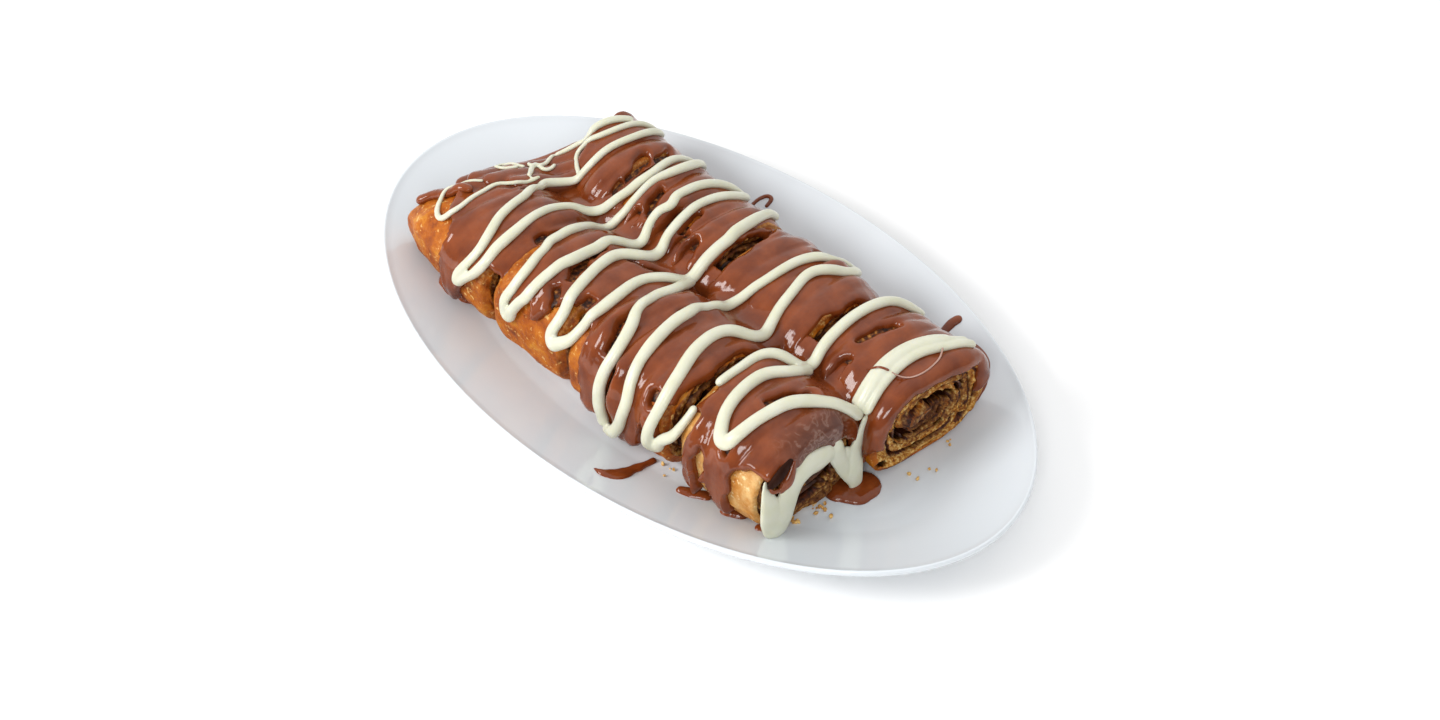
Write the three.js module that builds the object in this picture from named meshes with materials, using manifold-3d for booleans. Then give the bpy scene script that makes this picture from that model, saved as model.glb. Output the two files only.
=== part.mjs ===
// Two rows of rolled crepe on an oval plate, under milk chocolate sauce with a white chocolate zigzag.
// Millimetres, +Z up. The origin is the middle of the plate at the underside of its foot, and +X runs
// along the plate's long axis, towards the end where the cut faces show.
import * as THREE from "three";
import { mergeVertices } from "three/addons/utils/BufferGeometryUtils.js";
import Module from "manifold-3d";

const wasm = await Module();
wasm.setup();

// ---------------------------------------------------------------- driving dimensions

const GAP = 0.3; // clearance between pieces that touch

// The plate: half length, half width and height, then the well inside its rising rim.
const PLATE = { halfLength: 150, halfWidth: 89, height: 20 };
const WELL = { halfLength: 117, halfWidth: 56, top: 6.5 };
const FOOT = { inset: 9, width: 5, height: 2.2 };
const PLATE_WALL = 4;
const RIM_CURVE = 1.25; // above 1 the rim sweeps up towards its edge
const RIM_STEPS = 4;
const RIM_FOLD = 0.55; // share of the rim's reach where its underside turns down to the foot
const EDGE = { round: 1, top: 1.2, bottom: 2.6 }; // the rim's rounded edge, inwards and downwards
const INNER = 1; // half width of the strip that closes the middle of the well
const PLATE_SEGMENTS = 48;

// Crepe sheet and the filling that is spread on it before it is rolled up.
const SHEET = 2.2;
const FILLING = 2.4;
const TURNS = 2.25;
const STEPS_PER_TURN = 12;
const START_ANGLE = -70; // where the sheet's free edge lies: under the roll, a little behind
const TUCK = 0.2; // share of a turn over which the sheet steps in by its own depth
const FLAP_STEPS = 2;
// A roll's section above and below its widest line: 2 is an ellipse, and more is squarer. Each roll
// has settled on the plate, so it is squarer below.
const POWER = { above: 2.2, below: 4 };

// Milk chocolate over each piece, in ridges that run across the row.
const COAT = 2;
const COAT_EDGE = 0.6; // share of its depth that is left at its lower edges
const STEEPEST = 0.98; // how near its widest line's foot or crown an edge of the sauce may lie
const RIDGE = 0.7;
const RIDGE_SPACING = 11;
const COAT_STEPS = 7;
const OVERRUN = 4; // how far a cutting body runs past the ends of the piece it stands for
const VALLEY_FILL = 5; // how much thicker the sauce lies between the rows

// White chocolate cord, which lies a little clear of the sauce and sags between the rows.
const CORD = { radius: 2, sides: 4, steps: 3, clear: 4 * GAP, sag: 1 };
const VALLEY_ANGLE = 44; // where a stroke leaves the front roll for the valley
const CREST_ANGLE = 96; // where a stroke crosses the front roll's top, and the far roll's
const FAR_CREST_ANGLE = 90;

// The line between the two rows: straight along X, then it drifts towards the front.
const VALLEY = { bend: 40, drift: 0.075, end: 90 };

// Each piece by its stations along X: x, its near side, its far side and its top. A side given as
// "valley" lies against the other row. "cut" says how far an end leans: x grows by it per mm of y.
const V = "valley";
const PIECES = {
  A1: {
    stations: [
      [-108, -44, -3, 33],
      [-95, -49, V, 40],
      [-78, -51.5, V, 43.5],
      [-57, -52.5, V, 44.5],
    ],
    cut: [0.45, 0.06],
  },
  A2: {
    stations: [
      [-54.5, -53, V, 43.5],
      [-12.5, -53.5, V, 45],
    ],
    cut: [0.06, 0.08],
  },
  A3: {
    stations: [
      [-10, -53.5, V, 44.5],
      [43.5, -54.5, V, 45.5],
    ],
    cut: [0.08, 0.05],
    flap: 4,
    startAngle: -130,
  },
  A4: {
    stations: [
      [47, -53.5, V, 46],
      [68, -55, V, 46.5],
      [88, -54.5, V, 44.5],
    ],
    cut: [0.05, 0.02],
  },
  B1: {
    stations: [
      [-91, 23, 50.5, 42.5],
      [-76, 11, 52, 45],
      [-56, V, 51.5, 46],
    ],
    cut: [0.1, -0.05],
  },
  B2: {
    stations: [
      [-53, V, 50, 45],
      [0.5, V, 49, 45.5],
    ],
    cut: [-0.05, 0.06],
  },
  B3: {
    stations: [
      [4.5, V, 48.5, 45.5],
      [53, V, 47.5, 44.5],
    ],
    cut: [0.06, 0.04],
  },
  B4: {
    stations: [
      [57, V, 48.5, 45.5],
      [78, V, 49, 46],
      [98.5, V, 49, 45],
    ],
    cut: [0.04, 0.1],
  },
};

// How low the sauce hangs along each piece: x, the height of its edge in front, and behind.
const COAT_EDGES = {
  A1: [
    [-108, 32, 30],
    [-102, 18, 27],
    [-95, 13, 27],
    [-86, 20, 30],
    [-76, 27, 31],
    [-67, 22, 31],
    [-57.8, 25, 31],
  ],
  A2: [
    [-53.6, 27, 31],
    [-46, 30, 31],
    [-37, 31, 31],
    [-29, 22, 31],
    [-20, 30, 31],
    [-13.3, 26, 31],
  ],
  A3: [
    [-9.2, 22, 31],
    [0, 19, 31],
    [11, 16, 31],
    [21, 15, 31],
    [31, 16, 31],
    [42.6, 21, 31],
  ],
  A4: [
    [47.8, 22, 31],
    [55, 12, 31],
    [62, 18, 31],
    [70, 11, 31],
    [79, 20, 30],
    [87, 24, 29],
  ],
  B1: [
    [-93, 32, 30],
    [-84, 32, 24],
    [-75, 32, 26],
    [-66, 32, 22],
    [-56.8, 32, 26],
  ],
  B2: [
    [-52, 31, 24],
    [-41, 31, 28],
    [-30, 31, 22],
    [-19, 31, 26],
    [-9, 31, 21],
    [-0.4, 31, 25],
  ],
  B3: [
    [5.4, 31, 26],
    [15, 31, 23],
    [25, 31, 27],
    [36, 31, 22],
    [52, 31, 25],
  ],
  B4: [
    [58, 31, 26],
    [67, 31, 22],
    [77, 31, 25],
    [87, 31, 20],
    [91.5, 16, 23],
    [97.5, 12, 24],
  ],
};

// Where the rows part at their outer ends the sauce bridges them: x, its far side, and its
// underside and top.
const BRIDGE = [
  [-99, 15, 22, 28],
  [-90, 21, 22, 30],
  [-76, 10.4, 23, 30.5],
  [-64, 4.6, 25, 30.5],
];

// The zigzag: each stroke as its turn on the front row (x and the angle round the roll, where 90 is
// the top and 180 the front), its x over that roll's top, its x between the rows, its x over the far
// roll's top and its turn behind it. A stroke without a far side ends between the rows. Where the
// rows part, a stroke reaches the far roll at another x, "farFoot".
const STROKES = [
  { front: [-93, 134], top: -92, valley: -97, farFoot: -86, farTop: -84, far: [-82, 38] },
  { front: [-82, 196], top: -75, valley: -75, farTop: -72, far: [-82, 38] },
  { front: [-82, 196], top: -60, valley: -56, farTop: -49, far: [-49, 38] },
  { front: [-47, 192], top: -46, valley: -40, farTop: -44, far: [-49, 38] },
  { front: [-47, 192], top: -33, valley: -27, farTop: -30, far: [-27, 42] },
  { front: [-17, 174], top: -24, valley: -16, farTop: -22, far: [-27, 42] },
  { front: [-17, 174], top: -6, valley: 5, farTop: -1, far: [-5, 45] },
  { front: [7, 200], top: 4, valley: 5 },
  { front: [7, 200], top: 16, valley: 20, farTop: 24, far: [31, 50] },
  { front: [29, 198], top: 31, valley: 42, farTop: 35, far: [31, 50] },
  { front: [29, 198], top: 48, valley: 60, farTop: 60, far: [61, 45] },
  { front: [68, 152], top: 57, valley: 60 },
  { front: [68, 152], top: 74, valley: 86 },
];

const RIBBON_TOP = 0.65; // how wide a ribbon is on top, as a share of its width below

// The wide stroke over the last far piece: x, the angle round the roll, and how far it spreads.
const BAND = {
  depth: 2.2,
  route: [
    [87.5, 131, 6.5],
    [86.5, 117, 8],
    [86, 100, 9],
    [87, 80, 10],
    [91, 62, 11],
  ],
};

// The drape over the cut face of the last front piece: y, z and width along its run.
const DRAPE = {
  depth: 2.4,
  offset: 0.5, // clear of the cut face
  arch: [
    [-9.5, 32, 6],
    [-14, 29.5, 7],
    [-21, 31, 7],
    [-29, 31, 8],
    [-36, 26, 9],
    [-40, 18, 11],
    [-42.5, 11.5, 12],
  ],
  drip: [
    [-9.2, 33, 4.5],
    [-9.2, 22, 5],
    [-9.2, 12, 4.5],
  ],
};

// ---------------------------------------------------------------- plate

const lerp = THREE.MathUtils.lerp;
const radians = THREE.MathUtils.degToRad;

// An ellipse of the plate grows from the well's edge (rim 0) to the plate's edge (rim 1).
const RIM_REACH = PLATE.halfLength - WELL.halfLength;

function rimHeight(rim) {
  return WELL.top + (PLATE.height - WELL.top) * Math.pow(rim, RIM_CURVE);
}

// How far out on the rim a place lies: 0 on the well's edge, 1 on the plate's edge.
function rimAt(x, y) {
  let low = 0;
  let high = 1;
  for (let i = 0; i < 24; i += 1) {
    const rim = (low + high) / 2;
    const a = WELL.halfLength + RIM_REACH * rim;
    const b = WELL.halfWidth + RIM_REACH * rim;
    if ((x / a) ** 2 + (y / b) ** 2 > 1) low = rim;
    else high = rim;
  }
  return low;
}

const plateTop = (x, y) => rimHeight(rimAt(x, y));

// The plate's section from the middle of the top, over the edge and back underneath, as pairs of
// "growth" (how far the ellipse is outside the well's edge) and height.
function plateSection() {
  const middle = INNER - WELL.halfWidth;
  const section = [[middle, WELL.top]];
  for (let i = 0; i <= RIM_STEPS; i += 1) {
    const rim = i / RIM_STEPS;
    section.push([rim * (RIM_REACH - EDGE.round), rimHeight(rim)]);
  }
  const under = WELL.top - PLATE_WALL;
  const footInside = -FOOT.inset - FOOT.width;
  section.push([RIM_REACH, PLATE.height - EDGE.top], [RIM_REACH, PLATE.height - EDGE.bottom]);
  section.push([RIM_REACH - 2 * EDGE.round, PLATE.height - PLATE_WALL]);
  section.push([RIM_REACH * RIM_FOLD, rimHeight(RIM_FOLD) - PLATE_WALL]);
  section.push([0, under], [-FOOT.inset, under], [-FOOT.inset, 0]);
  section.push([footInside, 0], [footInside, FOOT.height], [middle, FOOT.height]);
  return section;
}

function plateGeometry() {
  const section = plateSection();
  const positions = [];
  const index = [];
  for (const [growth, z] of section) {
    for (let j = 0; j < PLATE_SEGMENTS; j += 1) {
      const turn = (2 * Math.PI * j) / PLATE_SEGMENTS;
      const a = WELL.halfLength + growth;
      const b = WELL.halfWidth + growth;
      positions.push(a * Math.cos(turn), b * Math.sin(turn), z);
    }
  }
  const at = (i, j) => i * PLATE_SEGMENTS + (j % PLATE_SEGMENTS);
  for (let i = 0; i < section.length - 1; i += 1) {
    for (let j = 0; j < PLATE_SEGMENTS; j += 1) {
      index.push(at(i, j), at(i + 1, j), at(i + 1, j + 1));
      index.push(at(i, j), at(i + 1, j + 1), at(i, j + 1));
    }
  }
  const last = section.length - 1;
  for (let j = 1; j < PLATE_SEGMENTS - 1; j += 1) {
    index.push(at(0, 0), at(0, j), at(0, j + 1));
    index.push(at(last, 0), at(last, j + 1), at(last, j));
  }
  return indexed(positions, index);
}

function indexed(positions, index) {
  const geometry = new THREE.BufferGeometry();
  geometry.setAttribute("position", new THREE.Float32BufferAttribute(positions, 3));
  geometry.setIndex(index);
  geometry.computeVertexNormals();
  return geometry;
}

// ---------------------------------------------------------------- rolls

const valleyAt = (x) => -VALLEY.drift * Math.max(0, x - VALLEY.bend);

// The section of a piece at x: its middle, its half width and half height, and its top.
function sectionAt(name, x) {
  const { stations } = PIECES[name];
  const first = stations[0][0];
  const last = stations[stations.length - 1][0];
  const place = THREE.MathUtils.clamp(x, first, last);
  let i = 0;
  while (i < stations.length - 2 && place > stations[i + 1][0]) i += 1;
  const [from, to] = [stations[i], stations[i + 1]];
  const share = (place - from[0]) / (to[0] - from[0]);
  const side = (value, direction) => (value === V ? valleyAt(place) + direction * GAP : value);
  const near = lerp(side(from[1], 1), side(to[1], 1), share);
  const far = lerp(side(from[2], -1), side(to[2], -1), share);
  const top = lerp(from[3], to[3], share);
  const floor = WELL.top + GAP;
  return {
    middle: (near + far) / 2,
    halfWidth: (far - near) / 2,
    height: (top + floor) / 2,
    halfHeight: (top - floor) / 2,
    floor,
    top,
  };
}

const powerAt = (angle) => (Math.sin(angle) > 0 ? POWER.above : POWER.below);

const rounded = (value, power) => Math.sign(value) * Math.abs(value) ** (2 / power);

// A point round the section, "share" of the way out from its middle and "grow" mm further out.
// What lies low is lifted by the rising rim under the roll's side, and the top stays where it is.
function rollPoint(section, x, angle, share, grow = 0) {
  const across = rounded(Math.cos(angle), powerAt(angle));
  const y = section.middle + across * (section.halfWidth * share + grow);
  const up = rounded(Math.sin(angle), powerAt(angle));
  const z = section.height + up * (section.halfHeight * share + grow);
  const lift = plateTop(x, section.middle + across * section.halfWidth) - WELL.top;
  const low = THREE.MathUtils.clamp((section.top - z) / (section.top - section.floor), 0, 1);
  return new THREE.Vector3(x, y, z + lift * low);
}

// How far a piece's end leans at a place along it.
function leanAt(name, x) {
  const { stations, cut } = PIECES[name];
  const first = stations[0][0];
  const last = stations[stations.length - 1][0];
  return lerp(cut[0], cut[1], THREE.MathUtils.clamp((x - first) / (last - first), 0, 1));
}

// Each ring of a roll leans as the cuts do, so x depends on y.
function leaning(name, x, section, angle, share, grow) {
  const flat = rollPoint(section, x, angle, share, grow);
  const leant = x + leanAt(name, x) * (flat.y - section.middle);
  return rollPoint(section, leant, angle, share, grow);
}

// A solid through rings of points that match one to one; every ring is closed, and so are the ends.
// Each four-sided patch is split along its shorter diagonal, so that nested layers split alike.
function loft(rings, flat = (point) => new THREE.Vector2(point.y, point.z)) {
  const count = rings[0].length;
  const points = rings.flat();
  const positions = points.flatMap((point) => point.toArray());
  const apart = (a, b) => points[a].distanceTo(points[b]);
  const index = [];
  for (let i = 0; i < rings.length - 1; i += 1) {
    for (let j = 0; j < count; j += 1) {
      const a = i * count + j;
      const b = i * count + ((j + 1) % count);
      const [c, d] = [b + count, a + count];
      if (apart(a, c) < apart(b, d)) index.push(a, b, c, a, c, d);
      else index.push(a, b, d, b, c, d);
    }
  }
  const last = (rings.length - 1) * count;
  for (const [a, b, c] of capTriangles(rings[0].map(flat))) index.push(c, b, a);
  for (const [a, b, c] of capTriangles(rings[rings.length - 1].map(flat))) {
    index.push(last + a, last + b, last + c);
  }
  return indexed(positions, volumeOf(points, index) > 0 ? index : index.reverse());
}

// The triangles of an end, turned the way that its outline runs.
function capTriangles(outline) {
  const triangles = THREE.ShapeUtils.triangulateShape(outline, []);
  return THREE.ShapeUtils.area(outline) > 0 ? triangles : triangles.map(([a, b, c]) => [c, b, a]);
}

// The volume inside a closed surface, negative when its faces point inwards.
function volumeOf(points, index) {
  let sum = 0;
  for (let i = 0; i < index.length; i += 3) {
    const [a, b, c] = index.slice(i, i + 3).map((j) => points[j]);
    sum += a.dot(b.clone().cross(c)) / 6;
  }
  return sum;
}

// The spiral that a rolled sheet makes. It keeps its distance for most of a turn, then tucks in
// under the turn before it.
function spiral(name) {
  const { halfWidth, halfHeight } = sectionAt(name, PIECES[name].stations[1][0]);
  const unit = 2 / (halfWidth + halfHeight);
  const start = radians(PIECES[name].startAngle ?? START_ANGLE);
  const steps = Math.round(TURNS * STEPS_PER_TURN);
  const angleAt = (i) => start + (2 * Math.PI * i) / STEPS_PER_TURN;
  const outer = (i) => {
    const turns = i / STEPS_PER_TURN;
    const tuck = THREE.MathUtils.smoothstep(turns % 1, 1 - TUCK, 1);
    return 1 - (SHEET + FILLING) * unit * (Math.floor(turns) + tuck);
  };
  return { unit, steps, angleAt, outer };
}

// The sheet, seen from its end: along its outside, then back along its inside. Its free edge may
// reach out in front of the roll as a flap.
function sheetPoints(name) {
  const { unit, steps, angleAt, outer } = spiral(name);
  const flap = PIECES[name].flap ?? 0;
  const point = (i, depth) => {
    const reach = i < FLAP_STEPS ? flap * (1 - i / FLAP_STEPS) : 0;
    return { angle: angleAt(i), share: outer(i) - depth * unit, reach };
  };
  const outside = Array.from({ length: steps + 1 }, (_, i) => point(i, 0));
  const inside = Array.from({ length: steps + 1 }, (_, i) => point(i, SHEET));
  return [...outside, ...inside.reverse()];
}

// The filling between the turns of the sheet and in the heart of the roll.
function fillingPoints(name) {
  const { unit, steps, angleAt, outer } = spiral(name);
  const point = (i, share) => ({ angle: angleAt(i), share, reach: 0 });
  const points = [];
  const pastEnd = steps + 1;
  for (let i = FLAP_STEPS; i <= pastEnd; i += 1) {
    points.push(point(i, outer(i) - (SHEET + GAP) * unit));
  }
  for (let i = pastEnd - STEPS_PER_TURN; i >= FLAP_STEPS; i -= 1) {
    points.push(point(i, outer(i + STEPS_PER_TURN) + GAP * unit));
  }
  return points;
}

function rolled(name, points) {
  const rings = PIECES[name].stations.map(([x]) => {
    const section = sectionAt(name, x);
    return points.map(({ angle, share, reach }) => {
      const place = leaning(name, x, section, angle, share, 0);
      place.y -= reach;
      return place;
    });
  });
  return loft(rings);
}

// ---------------------------------------------------------------- joins and cuts

function toSolid(geometry) {
  const bare = geometry.index ? geometry.toNonIndexed() : geometry.clone();
  bare.deleteAttribute("normal");
  bare.deleteAttribute("uv");
  const merged = mergeVertices(bare, 1e-4);
  const vertProperties = new Float32Array(merged.attributes.position.array);
  const triVerts = new Uint32Array(merged.index.array);
  return new wasm.Manifold(new wasm.Mesh({ numProp: 3, vertProperties, triVerts }));
}

// A cut can leave a speck beside the piece that is wanted.
function largest(solid) {
  return solid.decompose().reduce((best, body) => (body.volume() > best.volume() ? body : best));
}

function fromSolid(solid) {
  const mesh = solid.getMesh();
  return indexed([...mesh.vertProperties], [...mesh.triVerts]);
}

// ---------------------------------------------------------------- milk chocolate

// The angle round a section where the roll's side is at a height, in front of it or behind it.
function angleAtHeight(section, z, front) {
  const rise = THREE.MathUtils.clamp((z - section.height) / section.halfHeight, -STEEPEST, STEEPEST);
  const power = rise > 0 ? POWER.above : POWER.below;
  const angle = Math.asin(Math.sign(rise) * Math.abs(rise) ** (power / 2));
  return front ? Math.PI - angle : angle;
}

// Where the sauce of one row meets the sauce of the other, it stops at the valley.
function heldInRow(name, point) {
  if (point.x > VALLEY.end) return point;
  const valley = valleyAt(point.x);
  const limit = name.startsWith("A") ? valley - GAP / 2 : valley + GAP / 2;
  point.y = name.startsWith("A") ? Math.min(point.y, limit) : Math.max(point.y, limit);
  return point;
}

// The angle round the roll that faces the other row.
const valleySide = (name) => (name.startsWith("A") ? 0 : Math.PI);

// How much deeper the sauce lies on the side of a roll that faces the other row.
function valleyFill(name, x, angle) {
  if (x > VALLEY.end) return 0;
  return VALLEY_FILL * Math.max(0, Math.cos(angle - valleySide(name))) ** 2;
}

function coatRing(name, [x, frontEdge, backEdge], ridge) {
  const section = sectionAt(name, x);
  const back = angleAtHeight(section, backEdge, false);
  const front = angleAtHeight(section, frontEdge, true);
  const outside = [];
  const inside = [];
  for (let i = 0; i <= COAT_STEPS; i += 1) {
    const angle = lerp(back, front, i / COAT_STEPS);
    const atEdge = i === 0 || i === COAT_STEPS;
    const depth = (COAT + ridge) * (atEdge ? COAT_EDGE : 1) + valleyFill(name, x, angle);
    outside.push(heldInRow(name, leaning(name, x, section, angle, 1, GAP + depth)));
    inside.push(leaning(name, x, section, angle, 1, -SHEET));
  }
  return [...outside, ...inside.reverse()];
}

// The roll without its layers, a little larger all round and longer at both ends, to cut with.
function rollBody(name) {
  const places = PIECES[name].stations.map(([x]) => x);
  const first = places[0] - OVERRUN;
  const last = places[places.length - 1] + OVERRUN;
  const { angleAt } = spiral(name);
  const turn = Array.from({ length: STEPS_PER_TURN }, (_, i) => angleAt(i));
  const rings = [first, ...places, last].map((x) => {
    const section = sectionAt(name, x);
    return turn.map((angle) => leaning(name, x, section, angle, 1, GAP));
  });
  return toSolid(loft(rings));
}

function coatGeometry(name) {
  const rings = COAT_EDGES[name].map((edge) => {
    const ridge = RIDGE * Math.cos((2 * Math.PI * edge[0]) / RIDGE_SPACING);
    return coatRing(name, edge, ridge);
  });
  return fromSolid(largest(toSolid(loft(rings)).subtract(rollBody(name))));
}

function bridgeGeometry() {
  const rings = BRIDGE.map(([x, far, under, top]) => [
    new THREE.Vector3(x, GAP / 2, under),
    new THREE.Vector3(x, far, under),
    new THREE.Vector3(x, far, top),
    new THREE.Vector3(x, GAP / 2, top),
  ]);
  return fromSolid(largest(toSolid(loft(rings)).subtract(rollBody("B1"))));
}

// ---------------------------------------------------------------- white chocolate

const ROWS = { A: ["A1", "A2", "A3", "A4"], B: ["B1", "B2", "B3", "B4"] };

// The piece of a row that lies under x, or the nearest one.
function pieceUnder(row, x) {
  const reach = (name) => {
    const { stations } = PIECES[name];
    return Math.max(stations[0][0] - x, x - stations[stations.length - 1][0]);
  };
  return ROWS[row].reduce((best, name) => (reach(name) < reach(best) ? name : best));
}

// A point over the sauce, "lift" mm off its surface.
function onSauce(row, x, degrees, lift) {
  const name = pieceUnder(row, x);
  const angle = radians(degrees);
  const over = COAT + RIDGE + valleyFill(name, x, angle) + CORD.clear + lift;
  return rollPoint(sectionAt(name, x), x, angle, 1, over);
}

function strokeRoute({ front, top, valley, farFoot = valley, farTop, far }) {
  const crest = [top, CREST_ANGLE];
  const route = overRoll("A", front, crest, [valley, VALLEY_ANGLE]);
  const sunk = route[route.length - 1].z - CORD.sag;
  route.push(new THREE.Vector3(lerp(valley, farFoot, 0.5), valleyAt(valley), sunk));
  if (!far) return route;
  const farCrest = [farTop, FAR_CREST_ANGLE];
  return [...route, ...overRoll("B", [farFoot, 180 - VALLEY_ANGLE], farCrest, far)];
}

// Points on the sauce from one place on a roll over its crest to another.
function overRoll(row, from, crest, to) {
  const rise = arcPoints(row, from, crest);
  return [...rise, ...arcPoints(row, crest, to).slice(1)];
}

function arcPoints(row, from, to) {
  const points = [];
  for (let i = 0; i <= CORD.steps; i += 1) {
    const share = i / CORD.steps;
    const x = lerp(from[0], to[0], share);
    points.push(onSauce(row, x, lerp(from[1], to[1], share), CORD.radius));
  }
  return points;
}

function cordGeometry(route) {
  const section = new THREE.Shape();
  for (let i = 0; i < CORD.sides; i += 1) {
    const angle = (2 * Math.PI * (i + 0.5)) / CORD.sides;
    const point = [CORD.radius * Math.cos(angle), CORD.radius * Math.sin(angle)];
    if (i === 0) section.moveTo(...point);
    else section.lineTo(...point);
  }
  const path = new THREE.CatmullRomCurve3(route, false, "centripetal");
  return new THREE.ExtrudeGeometry(section, { steps: route.length - 1, extrudePath: path });
}

function zigzagGeometry() {
  const cords = STROKES.map((stroke) => toSolid(cordGeometry(strokeRoute(stroke))));
  return fromSolid(cords.reduce((all, cord) => all.add(cord)));
}

// The corners of a ribbon's section, which is narrower on top: "corner" places one of them.
function ribbonSection(corner, depth) {
  const top = RIBBON_TOP / 2;
  return [corner(-0.5, 0), corner(0.5, 0), corner(top, depth), corner(-top, depth)];
}

function bandGeometry() {
  const rings = BAND.route.map(([x, angle, width]) =>
    ribbonSection((across, lift) => onSauce("B", x + across * width, angle, lift), BAND.depth),
  );
  return loft(rings, (point) => new THREE.Vector2(point.x, point.z));
}

// A ribbon on the cut face of the last front piece, along places on that face.
function faceRibbon(route) {
  const rings = route.map(([y, z, width], i) => {
    const before = route[Math.max(i - 1, 0)];
    const after = route[Math.min(i + 1, route.length - 1)];
    const along = new THREE.Vector2(after[0] - before[0], after[1] - before[1]).normalize();
    const corner = (across, lift) => {
      const side = across * width;
      const place = { y: y - along.y * side, z: z + along.x * side };
      return new THREE.Vector3(faceAt(place.y) + DRAPE.offset + lift, place.y, place.z);
    };
    return ribbonSection(corner, DRAPE.depth);
  });
  return loft(rings, (point) => new THREE.Vector2(point.x, point.z - point.y));
}

// The cut face of the last front piece: x at a place across it.
function faceAt(y) {
  const { stations, cut } = PIECES.A4;
  const x = stations[stations.length - 1][0];
  return x + cut[1] * (y - sectionAt("A4", x).middle);
}

function drapeGeometry() {
  return fromSolid(toSolid(faceRibbon(DRAPE.arch)).add(toSolid(faceRibbon(DRAPE.drip))));
}

// ---------------------------------------------------------------- the whole dish

const finish = (color, roughness) =>
  new THREE.MeshStandardMaterial({ color, roughness, metalness: 0 });

const FINISHES = {
  porcelain: finish(0xe9ebee, 0.12),
  crepe: finish(0xc98a4b, 0.75),
  filling: finish(0x4a2a18, 0.55),
  milkChocolate: finish(0x6f3f2b, 0.2),
  whiteChocolate: finish(0xeeedd9, 0.25),
};

function piece(name, geometry, material) {
  const mesh = new THREE.Mesh(geometry, material);
  mesh.name = name;
  return mesh;
}

const dish = new THREE.Group();
dish.add(piece("plate", plateGeometry(), FINISHES.porcelain));
for (const name of Object.keys(PIECES)) {
  dish.add(piece(`crepe_${name}`, rolled(name, sheetPoints(name)), FINISHES.crepe));
  dish.add(piece(`filling_${name}`, rolled(name, fillingPoints(name)), FINISHES.filling));
  dish.add(piece(`sauce_${name}`, coatGeometry(name), FINISHES.milkChocolate));
}
dish.add(piece("sauce_bridge", bridgeGeometry(), FINISHES.milkChocolate));
dish.add(piece("white_zigzag", zigzagGeometry(), FINISHES.whiteChocolate));
dish.add(piece("white_band", bandGeometry(), FINISHES.whiteChocolate));
dish.add(piece("white_drape", drapeGeometry(), FINISHES.whiteChocolate));

export default dish;
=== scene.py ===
"""Rolled crepes on an oval plate, under milk chocolate sauce with a white chocolate zigzag.

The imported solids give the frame. Every visible piece is modelled here in millimetres and placed in
metres: the glazed plate, the eight rolls with their filling, the poured sauce, the white chocolate,
what has run down on the plate, and crumbs.
"""

import logging
import math
from dataclasses import dataclass, field
from enum import Enum
from typing import Sequence

import bpy
import numpy as np
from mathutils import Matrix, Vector
from mathutils.bvhtree import BVHTree

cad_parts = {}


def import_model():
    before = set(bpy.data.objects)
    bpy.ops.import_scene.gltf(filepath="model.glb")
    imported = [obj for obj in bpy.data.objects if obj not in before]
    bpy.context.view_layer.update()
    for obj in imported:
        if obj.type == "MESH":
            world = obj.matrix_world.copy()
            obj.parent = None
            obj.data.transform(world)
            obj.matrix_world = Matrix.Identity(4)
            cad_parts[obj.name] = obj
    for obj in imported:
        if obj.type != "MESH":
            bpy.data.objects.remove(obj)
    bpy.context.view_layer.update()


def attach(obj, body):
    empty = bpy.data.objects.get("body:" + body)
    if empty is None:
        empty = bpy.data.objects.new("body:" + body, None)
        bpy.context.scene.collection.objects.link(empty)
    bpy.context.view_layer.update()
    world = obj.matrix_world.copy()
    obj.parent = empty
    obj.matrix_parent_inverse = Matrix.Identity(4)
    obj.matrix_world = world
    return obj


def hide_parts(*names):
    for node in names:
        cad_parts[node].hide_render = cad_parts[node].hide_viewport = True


logging.basicConfig(level=logging.INFO, format="%(message)s")
LOG = logging.getLogger("crepe")

MM = 0.001
Array = np.ndarray


# ------------------------------------------------------------------ the plate and the rolls' shapes


class Row(Enum):
    """The row in front, and the row behind it."""

    FRONT = "A"
    BACK = "B"


GAP = 0.3
WELL = (117.0, 56.0, 6.5)  # half length, half width and height of the plate's flat
RIM_REACH = 33.0
RIM_RISE = 13.5
RIM_CURVE = 1.25
FLOOR = WELL[2] + GAP
POWER_ABOVE = 2.2
POWER_BELOW = 4.0
CREST = 90.0  # the angle of a roll's top, where 180 is its near side and 0 its far side


def valley_at(x: Array) -> Array:
    """The line between the two rows: y at x."""
    return -0.075 * np.maximum(0.0, np.asarray(x, float) - 40.0)


def plate_top(x: Array, y: Array) -> Array:
    """The height of the plate's upper face.

    Args:
        x: places along the plate.
        y: places across it.

    Returns:
        The heights.
    """
    low = np.zeros(np.broadcast(x, y).shape)
    high = np.ones_like(low)
    for _ in range(18):
        rim = (low + high) / 2
        outside = (x / (WELL[0] + RIM_REACH * rim)) ** 2 + (y / (WELL[1] + RIM_REACH * rim)) ** 2 > 1
        low = np.where(outside, rim, low)
        high = np.where(outside, high, rim)
    return WELL[2] + RIM_RISE * low**RIM_CURVE


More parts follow.
